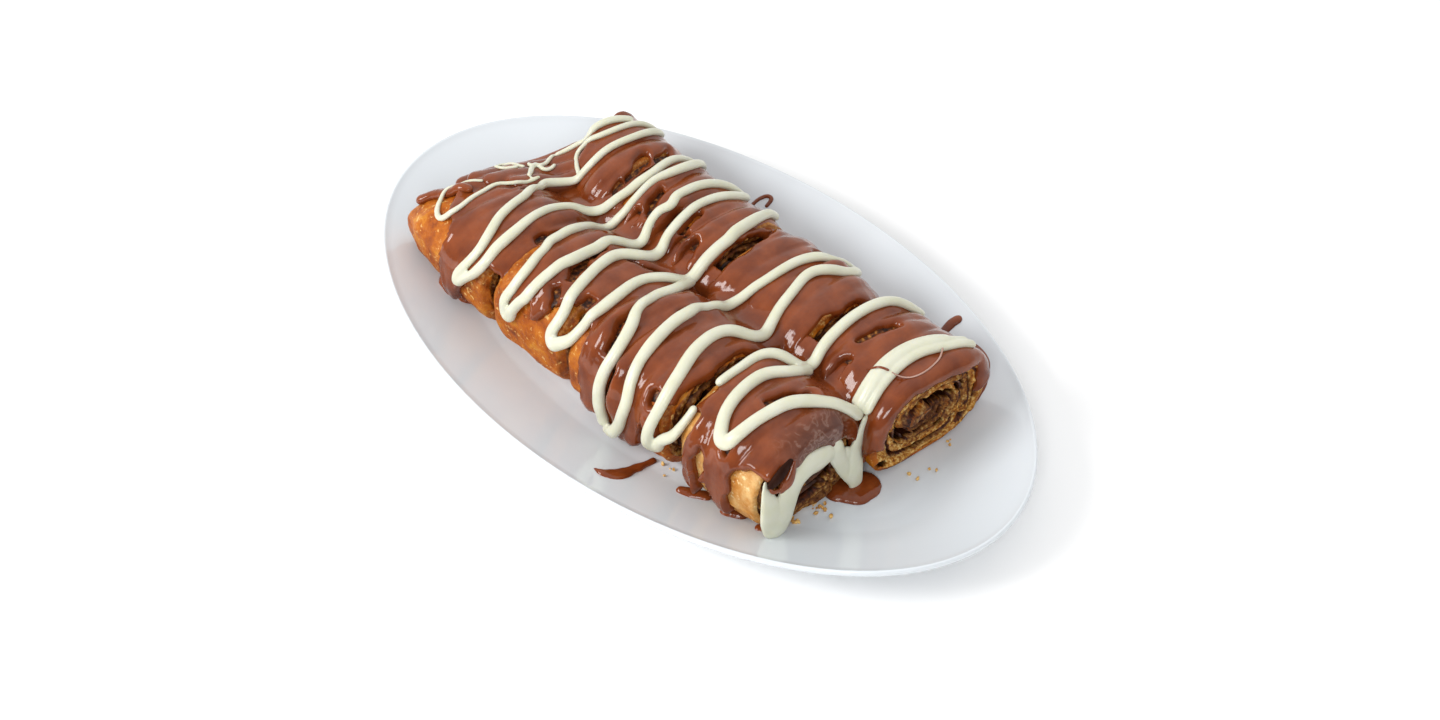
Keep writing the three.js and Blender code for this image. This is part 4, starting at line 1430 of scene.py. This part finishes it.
# The white chocolate on the last front piece's cut face: y, z, half width and how far off the face.
DRAPE_RUNS = (
    ((-18, 35.5, 1.6, 2.2), (-19.8, 31.5, 3.6, 2.6), (-25.9, 32.2, 5.2, 3.0), (-31.1, 33.4, 5.4, 3.2),
     (-35.4, 32.6, 5.4, 3.2), (-38.7, 29.8, 5.2, 3.0), (-41, 25.5, 5.2, 2.8), (-43.2, 21, 5.8, 2.8),
     (-45.6, 17.3, 6.6, 3.0), (-47, 14.8, 6.2, 3.2)),
    ((-51.6, 37.5, 1.0, 1.6), (-51.8, 34.5, 1.6, 1.9), (-51.2, 31, 2.8, 2.3), (-50, 25, 4.4, 2.6),
     (-49.2, 19.5, 5.4, 3.0), (-48.6, 15, 5.0, 3.2)),
    ((-2.7, 34, 2.6, 2.4), (-5.9, 27.3, 2.8, 2.6), (-8.4, 23, 3.6, 3.0), (-9.6, 16.8, 4.2, 4.2),
     (-9.6, 9.6, 3.4, 5.2)),
    ((-18.6, 30.9, 4.2, 2.6), (-16.5, 24.6, 3.5, 3.0), (-13.7, 18.2, 3.4, 3.6), (-10.8, 11.8, 2.8, 4.6)),
    ((-13, 25, 2.8, 2.6), (-12, 19, 3.0, 3.2), (-10.5, 13, 2.6, 4.2)),
)

# A curl of chocolate in the drape: its dark opening, and its two lips.
CURL = ((-41.9, 41.8, 1.8, 3.4), (-45.2, 40.6, 2.6, 3.8), (-48, 38.8, 2.7, 3.8), (-50.2, 36.9, 2.1, 3.4))
CURL_LIPS = (((-40.4, 41.6, 0.9, 4.2), (-42.4, 37.6, 2.1, 4.6), (-44.2, 34.8, 2.6, 4.6),
              (-46.1, 31.8, 1.5, 4.0)),
             ((-51.3, 36.4, 0.6, 3.6), (-50.4, 34.2, 0.9, 4.0), (-48.4, 33.4, 1.0, 4.2),
              (-46.6, 32.6, 1.0, 4.2)))


THREAD = over((80.4, 6, 0.14), (82, 6.6, 0.19), (84.5, 7.6, 0.21), (86.8, 8.2, 0.22), (88.8, 9, 0.2),
              (90, 9.6, 0.15))
THREAD_PALE = over((89.6, 9.4, 0.1), (92, 11, 0.13), (96, 15, 0.14), (97, 19, 0.14), (97, 23, 0.14),
                   (96, 28, 0.15),
                   (94.5, 32, 0.16))


def smooth_path(knots: Array, spacing: float) -> Array:
    """A smooth line through knots, at an even spacing.

    Args:
        knots: rows of values, the first three of them a place.
        spacing: distance between points in mm.

    Returns:
        The rows along the line.
    """
    padded = np.concatenate([2 * knots[:1] - knots[1:2], knots, 2 * knots[-1:] - knots[-2:-1]])
    line = []
    for p0, p1, p2, p3 in zip(padded, padded[1:], padded[2:], padded[3:]):
        gap = float(np.linalg.norm(p2[:3] - p1[:3]))
        t = np.linspace(0, 1, max(3, int(gap / spacing * 2)), endpoint=False)[:, None]
        line.append(0.5 * (2 * p1 + (p2 - p0) * t + (2 * p0 - 5 * p1 + 4 * p2 - p3) * t**2
                           + (3 * p1 - p0 - 3 * p2 + p3) * t**3))
    line = np.concatenate([*line, knots[-1:]])
    run = np.concatenate([[0], np.cumsum(np.linalg.norm(np.diff(line[:, :3], axis=0), axis=1))])
    even = np.arange(0, run[-1], spacing)
    return np.stack([np.interp(even, run, line[:, k]) for k in range(line.shape[1])], -1)


def averaged(values: Array, window: int) -> Array:
    """Rows blended with their neighbours, with the ends held."""
    padded = np.pad(values, ((window, window), (0, 0)), mode="edge")
    kernel = np.hanning(2 * window + 3)[1:-1]
    kernel /= kernel.sum()
    return np.stack([np.convolve(padded[:, k], kernel, "valid") for k in range(values.shape[1])], -1)


def swept(name: str, path: Array, normals: Array, widths: Array, heights: Array,
          around: int = 12) -> bpy.types.Object:
    """A round-ended cord along a line.

    Args:
        name: the piece's name.
        path: its middle line in mm.
        normals: the way up at each place.
        widths: half its width at each place.
        heights: half its height at each place.
        around: points round it.

    Returns:
        The piece.
    """
    tangent = np.gradient(path, axis=0)
    tangent /= np.maximum(np.linalg.norm(tangent, axis=1, keepdims=True), 1e-6)
    side = np.cross(tangent, normals)
    side /= np.maximum(np.linalg.norm(side, axis=1, keepdims=True), 1e-6)
    up = np.cross(side, tangent)
    turn = np.linspace(0, 2 * np.pi, around, endpoint=False)
    cap = np.array([0.15, 0.5, 0.8, 0.95])
    reach = np.sqrt(1 - cap**2)
    rings = [path[0] - tangent[0] * widths[0] * r + (side[0] * widths[0] * np.cos(turn)[:, None] * c
             + up[0] * heights[0] * np.sin(turn)[:, None] * c) for c, r in zip(cap, reach)]
    rings += [p + s * w * np.cos(turn)[:, None] + u * h * np.sin(turn)[:, None]
              for p, s, u, w, h in zip(path, side, up, widths, heights)]
    rings += [path[-1] + tangent[-1] * widths[-1] * r + (side[-1] * widths[-1] * np.cos(turn)[:, None] * c
              + up[-1] * heights[-1] * np.sin(turn)[:, None] * c) for c, r in zip(cap[::-1], reach[::-1])]
    return lofted(name, np.stack(rings))


def melted(pieces: Sequence[bpy.types.Object], name: str, voxel: float, rounds: int) -> bpy.types.Object:
    """Runs pieces into one smooth body.

    Args:
        pieces: closed pieces that touch.
        name: the body's name.
        voxel: size of the finest shape kept, in mm.
        rounds: rounds of smoothing.

    Returns:
        The body.
    """
    body = join(pieces, name)
    apply_modifier(body, "REMESH", mode="VOXEL", voxel_size=voxel * MM, use_smooth_shade=True)
    apply_modifier(body, "SMOOTH", factor=0.5, iterations=rounds)
    shade_smooth(body)
    return body


class Ground:
    """What a cord lies on: the sauce and the plate."""

    def __init__(self, pieces: Sequence[bpy.types.Object]) -> None:
        """Builds the search tree of all their faces."""
        vertices, faces = [], []
        for piece in pieces:
            count = len(vertices)
            mesh = piece.data
            points = np.empty(len(mesh.vertices) * 3)
            mesh.vertices.foreach_get("co", points)
            vertices.extend((points.reshape(-1, 3) / MM).tolist())
            faces.extend([[count + v for v in polygon.vertices] for polygon in mesh.polygons])
        self.tree = BVHTree.FromPolygons(vertices, faces)

    def nearest(self, place: Array) -> tuple[Array, Array]:
        """The nearest place on the ground, and the way up there."""
        point, normal, _, _ = self.tree.find_nearest(Vector(place))
        return np.array(point), np.array(normal)

    def below(self, x: float, y: float, high: float = 60.0) -> tuple[Array, Array] | None:
        """The first place straight down from a height."""
        point, normal, _, _ = self.tree.ray_cast(Vector((x, y, high)), Vector((0, 0, -1)))
        return None if point is None else (np.array(point), np.array(normal))


@dataclass
class PouredCords:
    """Cords of melted chocolate laid on what is below them."""

    ground: Ground
    spacing: float = 0.9
    flatness: float = 0.8  # height of a cord as a share of its width
    lift: float = 0.55  # how high its middle lies, as a share of half its height
    bridge: float = 3.2  # how far off the ground it can be before it hangs over a gap
    seed: int = 41

    def radius(self, x: Array, far: Array) -> Array:
        """Half the width of a cord at x; far is 1 on the far row."""
        return np.full_like(x, 2.2) * (1 - 0.1 * far)

    def knots(self, route: Sequence[Stop]) -> Array:
        """The route's stops as places in mm, with 1 on the far row, and the width share."""
        rows = []
        for stop in route:
            if stop.row is None:
                hit = self.ground.below(stop.x, stop.turn)
                place = hit[0] + (0, 0, 1.5)
            else:
                place = ROWS[stop.row].place(np.array([stop.x]), np.array([stop.turn]), grow=3.0)[0]
            rows.append([*place, 1.0 if stop.row is B else 0.0, stop.width])
        return np.array(rows)

    def cord(self, name: str, route: Sequence[Stop]) -> bpy.types.Object:
        """One cord along a route, laid on the ground.

        Args:
            name: the piece's name.
            route: its stops.

        Returns:
            The piece.
        """
        line = smooth_path(self.knots(route), self.spacing)
        return self.laid(name, line[:, :3], self.radius(line[:, 0], line[:, 3]) * line[:, 4])

    def laid(self, name: str, line: Array, radius: Array) -> bpy.types.Object:
        """A cord along a line near the ground.

        Args:
            name: the piece's name.
            line: places in mm, a little above the ground.
            radius: half its width at each place.

        Returns:
            The piece.
        """
        found = [self.ground.nearest(p) for p in line]
        place = np.array([p for p, _ in found])
        apart = np.linalg.norm(line - place, axis=1, keepdims=True)
        hung = np.clip((apart - self.bridge) / 3, 0, 1)
        place = averaged(place * (1 - hung) + (line - (0, 0, self.bridge)) * hung, 3)
        normal = averaged(np.array([n for _, n in found]), 8)
        normal /= np.maximum(np.linalg.norm(normal, axis=1, keepdims=True), 1e-6)
        noise = Noise(self.seed)
        run = np.arange(len(line)) * self.spacing
        radius = averaged((radius * (1 + 0.08 * noise.at(run / 14, line[:, 0] / 50)))[:, None], 5)[:, 0]
        place = averaged(place + normal * (radius * self.flatness * self.lift)[:, None], 3)
        return swept(name, place, normal, radius, radius * self.flatness)


def on_last_cut(name: str, run: Sequence[tuple], flatness: float) -> bpy.types.Object:
    """A run of chocolate down the last front piece's cut face.

    Args:
        name: the piece's name.
        run: y, z, half width and distance off the face along it.
        flatness: its height as a share of its width.

    Returns:
        The piece.
    """
    end = ROLLS["A4"].x[-1]
    line = smooth_path(np.array([[end + proud, y, z, half] for y, z, half, proud in run]), 0.8)
    normals = np.tile((1.0, 0.0, 0.0), (len(line), 1))
    return swept(name, line[:, :3], normals, line[:, 3], line[:, 3] * flatness, 16)


def dressed(piece: bpy.types.Object, material: bpy.types.Material, slot: str,
            *nodes: str) -> bpy.types.Object:
    """Gives a piece its finish and its place in the frame.

    Args:
        piece: the piece.
        material: its finish.
        slot: the record's slot; not used.
        nodes: the nodes that it stands for.

    Returns:
        The piece.
    """
    piece.data.materials.append(material)
    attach(piece, "root")
    if nodes:
        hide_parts(*nodes)
    return piece


@dataclass
class WhiteCords(PouredCords):
    """White chocolate: the zigzag, the band over the last far piece and the drape beside it."""

    def radius(self, x: Array, far: Array) -> Array:
        """Half the width: thin at the left, thicker to the right, thinner on the far row."""
        return np.interp(x, (-110, -88, -76, -50, -20, 90),
                         (1.4, 1.5, 1.9, 2.25, 2.35, 2.5)) * (1 - 0.12 * far)

    def zigzag(self, material: bpy.types.Material) -> list[bpy.types.Object]:
        """The zigzag over both rows, in bodies that run into one another."""
        groups = {
            "white_zigzag_left": [ZIGZAG_LEFT, TIP_LOOP, RIM_CORD, *TANGLE],
            "white_zigzag_right": [ZIGZAG_MIDDLE, ZIGZAG_RIGHT, ZIGZAG_END, ZIGZAG_LAST],
        }
        bodies = []
        for name, routes in groups.items():
            cords = [self.cord(f"{name}_{i}", route) for i, route in enumerate(routes)]
            bodies.append(dressed(melted(cords, name, 0.5, 5), material, "white_chocolate", "white_zigzag"))
        return bodies

    def band(self, material: bpy.types.Material) -> bpy.types.Object:
        """The wide ribbed stroke over the last far piece."""
        ribs = []
        for i, (offset, half, count) in enumerate(BAND_RIBS):
            rows = [ROWS[B].place(np.array([x + offset]), np.array([turn]), grow=3.0)[0] for x,
                    turn in BAND_ROUTE[:count]]
            line = smooth_path(np.array(rows), self.spacing)
            ribs.append(self.laid(f"white_rib_{i}", line, np.full(len(line), half)))
        return dressed(melted(ribs, "white_band_poured", 0.45, 5), material, "white_chocolate", "white_band")

    def drape(self, material: bpy.types.Material) -> bpy.types.Object:
        """The runs on the last front piece's cut face, melted into one."""
        runs = [on_last_cut(f"white_run_{i}", run, 0.42) for i, run in enumerate(DRAPE_RUNS)]
        return dressed(melted(runs, "white_drape_poured", 0.45, 8), material, "white_chocolate",
                       "white_drape")


@dataclass
class ChocolateCords(PouredCords):
    """Milk chocolate that lies in separate strands."""

    def web(self, material: bpy.types.Material) -> bpy.types.Object:
        """The strands that hang between the rows at their left end."""
        strands = []
        for i, strand in enumerate(WEB_STRANDS):
            line = smooth_path(np.array(strand, float), 1.0)
            normals = np.tile((0.0, 0.0, 1.0), (len(line), 1))
            strands.append(swept(f"web_strand_{i}", line[:, :3], normals, line[:, 3] * 1.25, line[:, 3], 14))
        return dressed(melted(strands, "sauce_web", 0.6, 12), material, "milk_chocolate", "sauce_bridge")

    def strand(self, material: bpy.types.Material) -> bpy.types.Object:
        """The strand over the first front piece's tip."""
        return dressed(melted([self.cord("tip", TIP_STRAND)], "sauce_tip_strand", 0.5, 3), material,
                       "milk_chocolate")

    def threads(self, brown: bpy.types.Material, white: bpy.types.Material) -> None:
        """The thin thread that was pulled over the white band, brown and then pale."""
        dressed(self.cord("sauce_thread", THREAD), brown, "milk_chocolate")
        dressed(self.cord("sauce_thread_pale", THREAD_PALE), white, "white_chocolate")

    def curl(self, lips: bpy.types.Material, inside: bpy.types.Material) -> list[bpy.types.Object]:
        """The small curl in the drape, dark inside."""
        dark = dressed(melted([on_last_cut("curl", CURL, 0.5)], "curl_inside", 0.35, 6), inside,
                       "milk_chocolate")
        sides = [on_last_cut(f"curl_lip_{i}", lip, 0.7) for i, lip in enumerate(CURL_LIPS)]
        return [dark, dressed(melted(sides, "curl_lips", 0.35, 6), lips, "milk_chocolate")]


# ------------------------------------------------------------------ the plate and what lies on it


@dataclass(frozen=True)
class Ring:
    """One ring of the plate's section: growth from the well's edge and height, in mm."""

    growth: float
    height: float


@dataclass
class OvalPlate:
    """The oval plate: a flat well, a rim that sweeps up, and a foot ring underneath."""

    height: float = 20.0
    wall: float = 4.0
    foot_inset: float = 9.0
    foot_width: float = 5.0
    foot_height: float = 2.2
    segments: int = 128

    def rings(self) -> list[Ring]:
        """The section, from the middle of the well over the rim to the middle underneath."""
        under = WELL[2] - self.wall
        inside = -self.foot_inset - self.foot_width
        section = [Ring(-30, WELL[2]), Ring(-8, WELL[2]), Ring(-5.5, WELL[2] - 0.25),
                   Ring(-3.5, WELL[2] - 0.3),
                   Ring(-1.2, WELL[2] + 0.05)]
        for share in (0.04, 0.1, 0.2, 0.32, 0.45, 0.6, 0.75, 0.88, 0.955):
            section.append(Ring(share * RIM_REACH, WELL[2] + RIM_RISE * share**RIM_CURVE))
        top = self.height
        section += [Ring(RIM_REACH - 0.8, top - 0.12), Ring(RIM_REACH - 0.25, top - 0.6),
                    Ring(RIM_REACH, top - 1.5),
                    Ring(RIM_REACH - 0.3, top - 2.5), Ring(RIM_REACH - 1.6, top - 3.5)]
        for share in (0.8, 0.55, 0.3, 0.12):
            section.append(Ring(share * RIM_REACH, WELL[2] + RIM_RISE * share**RIM_CURVE - self.wall))
        section += [Ring(-3, under), Ring(-self.foot_inset + 0.4, under - 0.3),
                    Ring(-self.foot_inset, under - 0.9),
                    Ring(-self.foot_inset - 0.3, 0.4), Ring(-self.foot_inset - 1, 0), Ring(inside + 1, 0),
                    Ring(inside + 0.3, 0.4), Ring(inside, self.foot_height - 0.5),
                    Ring(inside - 0.5, self.foot_height),
                    Ring(-40, self.foot_height)]
        return section

    def build(self, material: bpy.types.Material) -> bpy.types.Object:
        """Builds the plate by extruding an oval round its section, and dresses it."""
        deselect()
        bpy.ops.mesh.primitive_circle_add(vertices=self.segments, radius=1.0, fill_type="TRIFAN",
                                          location=(0, 0, 0))
        plate = bpy.context.object
        plate.name = plate.data.name = "oval_plate"
        section = self.rings()
        first = section[0]
        bpy.ops.object.mode_set(mode="EDIT")
        bpy.ops.mesh.select_all(action="SELECT")
        half = ((WELL[0] + first.growth) * MM, (WELL[1] + first.growth) * MM)
        bpy.ops.transform.resize(value=(*half, 1))
        bpy.ops.transform.translate(value=(0, 0, first.height * MM))
        bpy.ops.mesh.select_mode(type="VERT")
        bpy.ops.mesh.select_all(action="DESELECT")
        bpy.ops.mesh.select_non_manifold(extend=False)
        for ring, new in zip(section, section[1:]):
            bpy.ops.mesh.extrude_region_move()
            scale = ((WELL[0] + new.growth) / (WELL[0] + ring.growth),
                     (WELL[1] + new.growth) / (WELL[1] + ring.growth))
            bpy.ops.transform.resize(value=(*scale, 1), center_override=(0, 0, 0))
            bpy.ops.transform.translate(value=(0, 0, (new.height - ring.height) * MM))
        bpy.ops.mesh.extrude_region_move()
        bpy.ops.mesh.merge(type="CENTER")
        bpy.ops.object.mode_set(mode="OBJECT")
        outward(plate)
        place_in_mesh(plate)
        shade_smooth(plate)
        plate.data.materials.append(material)
        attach(plate, "root")
        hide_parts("plate")
        return plate


@dataclass(frozen=True)
class Pool:
    """A flat run of sauce on the plate: a line of x, y and half width, and its depth."""

    line: tuple[tuple[float, float, float], ...]
    depth: float = 0.9


CHOCOLATE_POOLS = (
    Pool(((27, -74, 0.3), (31, -73.5, 1.8), (33.5, -70.5, 2.9), (34, -66, 2.7), (33.7, -61, 2.0),
          (33.7, -56, 1.4),
          (34, -52, 1.4)), 1.3),
    Pool(((52.5, -56, 1.8), (56, -54, 2.5), (60, -51, 2.4)), 1.6),
    Pool(((71.5, -51, 3.0), (75.5, -48.5, 3.0)), 2.6),
    Pool(((85.5, -49.5, 1.8), (88, -46.5, 1.6)), 1.2),
    Pool(((90, -15, 5.0), (93, -11, 8.0), (94.5, -7, 7.0)), 2.2),
    Pool(((72, 63, 6.0), (80, 64, 7.0), (87, 62, 6.5), (92, 56, 5.5), (95, 50, 3.5)), 2.2),
    Pool(((66.5, 62, 1.6), (66, 67, 1.7), (66.2, 71, 1.9), (67, 73, 1.9)), 1.0),
    Pool(((-38.5, 67, 0.9), (-37.8, 72, 0.9), (-35.8, 75, 1.0), (-33.4, 74.8, 1.1), (-33, 71.5, 0.9)), 0.8),
    Pool(((-88, -46, 4.6), (-84, -45.5, 6.2), (-80, -44, 6.0)), 5.0),
)


@dataclass
class PouredPools:
    """Pools and smears on the plate."""

    spacing: float = 0.8

    def build(self, name: str, pools: Sequence[Pool], material: bpy.types.Material,
              slot: str) -> bpy.types.Object:
        """Builds all the pools of one sauce as one piece.

        Args:
            name: the piece's name.
            pools: the pools.
            material: their finish.
            slot: the record's slot; not used.

        Returns:
            The piece.
        """
        pieces = []
        for i, pool in enumerate(pools):
            rows = np.array([[x, y, 0, half] for x, y, half in pool.line], float)
            line = smooth_path(rows, self.spacing)
            height = plate_top(line[:, 0], line[:, 1])
            place = np.stack([line[:, 0], line[:, 1], height + 0.15 * pool.depth], -1)
            normals = np.tile((0.0, 0.0, 1.0), (len(line), 1))
            widths = np.maximum(line[:, 3] * (1 + 0.2 * Noise(60 + i).at(np.arange(len(line)) / 4, 0.5)),
                                0.35)
            pieces.append(swept(f"{name}_{i}", place, normals, widths, np.minimum(widths, pool.depth), 16))
        body = melted(pieces, name, 0.4, 5)
        body.data.materials.append(material)
        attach(body, "root")
        return body


@dataclass
class Crumbs:
    """Loose crumbs by the cut faces: x, y, count and spread of each group."""

    groups: tuple[tuple[float, float, int, float], ...] = ((91, -25, 16, 1.6), (90.5, -36.5, 9, 1.2),
                                                           (102, 9, 2, 2.5),
                                                           (105, 16, 2, 2.5), (101, 30, 3, 1.5),
                                                           (40, -50, 4, 2.0))
    size: float = 1.3
    seed: int = 77

    def build(self, material: bpy.types.Material) -> bpy.types.Object:
        """Models one crumb and scatters turned copies of it on the plate."""
        random = np.random.default_rng(self.seed)
        deselect()
        bpy.ops.mesh.primitive_ico_sphere_add(subdivisions=2, radius=self.size * MM / 2, location=(0, 0, 0))
        model = bpy.context.object
        for vertex in model.data.vertices:
            vertex.co *= 1 + 0.28 * float(random.uniform(-1, 1))
        copies = []
        for x, y, count, spread in self.groups:
            for _ in range(count):
                copy = model.copy()
                copy.data = model.data.copy()
                px, py = x + random.normal(0, spread), y + random.normal(0, spread)
                scale = random.uniform(0.5, 1.5)
                copy.location = (px * MM, py * MM, float(plate_top(px, py) + 0.3 * self.size * scale) * MM)
                copy.rotation_euler = random.uniform(0, 6, 3)
                copy.scale = (scale, scale * random.uniform(0.6, 1), scale * 0.8)
                bpy.context.scene.collection.objects.link(copy)
                copies.append(copy)
        bpy.data.objects.remove(model)
        body = join(copies, "loose_crumbs")
        place_in_mesh(body)
        body.data.materials.append(material)
        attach(body, "root")
        return body


# ------------------------------------------------------------------ the stage


@dataclass
class Studio:
    """The pale floor, the soft lights and the camera."""

    floor_size: float = 3.0
    camera_way: tuple[float, float] = (46.0, 44.0)  # degrees round and up
    camera_distance: float = 0.8147
    camera_target: tuple[float, float, float] = (0.01866, -0.00413, 0.01406)
    lens: float = 55.0

    def floor(self, material: bpy.types.Material) -> bpy.types.Object:
        """The floor, just under the plate's foot."""
        deselect()
        bpy.ops.mesh.primitive_plane_add(size=self.floor_size, location=(0, 0, 0))
        floor = bpy.context.object
        floor.name = floor.data.name = "floor"
        floor.data.materials.append(material)
        return floor

    def light(self, name: str, place: tuple, aim: tuple, size: tuple, power: float, tint: tuple) -> None:
        """An area light.

        Args:
            name: its name.
            place: where it stands, in metres.
            aim: what it points at.
            size: its two sides.
            power: in watts.
            tint: its colour.
        """
        lamp = bpy.data.lights.new(name, "AREA")
        lamp.shape = "RECTANGLE"
        lamp.size, lamp.size_y = size
        lamp.energy = power
        lamp.color = tint
        holder = bpy.data.objects.new(name, lamp)
        holder.location = place
        holder.rotation_euler = (Vector(aim) - Vector(place)).to_track_quat("-Z", "Y").to_euler()
        bpy.context.scene.collection.objects.link(holder)

    def lights(self) -> None:
        """Two windows of light in front, and a soft white room that is brighter overhead."""
        self.light("window_left", (-0.35, -0.75, 0.62), (0, 0, 0.02), (0.48, 0.38), 7.5, (1.0, 0.99, 0.98))
        self.light("window_right", (0.55, -0.62, 0.60), (0, 0, 0.02), (0.26, 0.32), 3.0, (0.98, 0.99, 1.0))
        world = bpy.data.worlds.new("soft_white_room")
        world.use_nodes = True
        tree = world.node_tree
        way = add_node(tree, "ShaderNodeTexCoord").outputs["Generated"]
        side = add_node(tree, "ShaderNodeVectorMath", {0: way, 1: (-0.36, 0.62, 0.70)},
                        operation="DOT_PRODUCT")
        bright = add_node(tree, "ShaderNodeMapRange",
                          {0: side.outputs["Value"], 1: -0.2, 2: 0.9, 3: 0.37, 4: 1.1}).outputs[0]
        background = tree.nodes["Background"]
        background.inputs["Color"].default_value = (1.0, 1.0, 1.0, 1.0)
        tree.links.new(bright, background.inputs["Strength"])
        bpy.context.scene.world = world
        bpy.context.scene.view_settings.view_transform = "Standard"

    def camera(self) -> None:
        """The camera, at its way and distance from what it looks at."""
        around, up = (math.radians(v) for v in self.camera_way)
        back = Vector((math.sin(around) * math.cos(up), -math.cos(around) * math.cos(up), math.sin(up)))
        data = bpy.data.cameras.new("camera")
        data.lens = self.lens
        data.sensor_width = 36.0
        holder = bpy.data.objects.new("camera", data)
        holder.location = Vector(self.camera_target) + back * self.camera_distance
        holder.rotation_euler = back.to_track_quat("Z", "Y").to_euler()
        bpy.context.scene.collection.objects.link(holder)
        bpy.context.scene.camera = holder


def main() -> None:
    """Builds every piece around the frame, sets the stage and finishes."""
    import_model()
    porcelain, chocolate, white = Porcelain().make(), PouredChocolate().make(), WhiteChocolate().make()
    crepe, filling, soaked_and_shade = BrownedCrepe().make(), ChocolateFilling().make(), SoakedChocolateAndShade().make()
    pale = BrownedCrepe("pale_crepe", ("#8a4610", "#b87a32", "#c9985a", "#d9b87e"), "#e2cb98").make()
    plate = OvalPlate().build(porcelain)
    LOG.info("plate built")
    sheets = []
    for name in ROLLS:
        roll = CrepeRoll(name, ROUNDING[name], HOLLOWS.get(name, ()), name in OPEN_ENDS)
        sheets.append(roll.build(pale if name == "A4" else crepe, filling)[0])
        LOG.info("%s: %d faces", name, len(sheets[-1].data.polygons))
    sauces = []
    for row, settings in ((A, FRONT_SAUCE), (B, BACK_SAUCE)):
        sheet = SauceSheet(row, **settings)
        nodes = [f"sauce_{name}" for name in ROLLS if name[0] == row.value]
        sauces.append(dressed(sheet.build(f"poured_sauce_{row.value}"), chocolate, "milk_chocolate", *nodes))
        dressed(sheet.undercoat(f"soaked_coat_and_shade_{row.value}"), soaked_and_shade, "milk_chocolate")
        LOG.info("%s: %d faces", sauces[-1].name, len(sauces[-1].data.polygons))
    strands = ChocolateCords(Ground([*sauces, *sheets, plate]))
    sauces += [strands.web(chocolate), strands.strand(chocolate)]
    strands.curl(chocolate, ShadedChocolate().make())
    cords = WhiteCords(Ground([*sauces, *sheets, plate]))
    band = cords.band(white)
    for body in [*cords.zigzag(white), band, cords.drape(white)]:
        LOG.info("%s: %d faces", body.name, len(body.data.polygons))
    streaked = WhiteChocolate("streaked_chocolate", "#b9978a", "#a07c6f").make()
    ChocolateCords(Ground([*sauces, band]), lift=1.1).threads(chocolate, streaked)
    pools = PouredPools()
    pools.build("chocolate_pools", CHOCOLATE_POOLS, chocolate, "milk_chocolate")
    Crumbs().build(Crumb().make())
    studio = Studio()
    studio.floor(Backdrop().make())
    studio.lights()
    studio.camera()


if __name__ == "__main__":
    main()
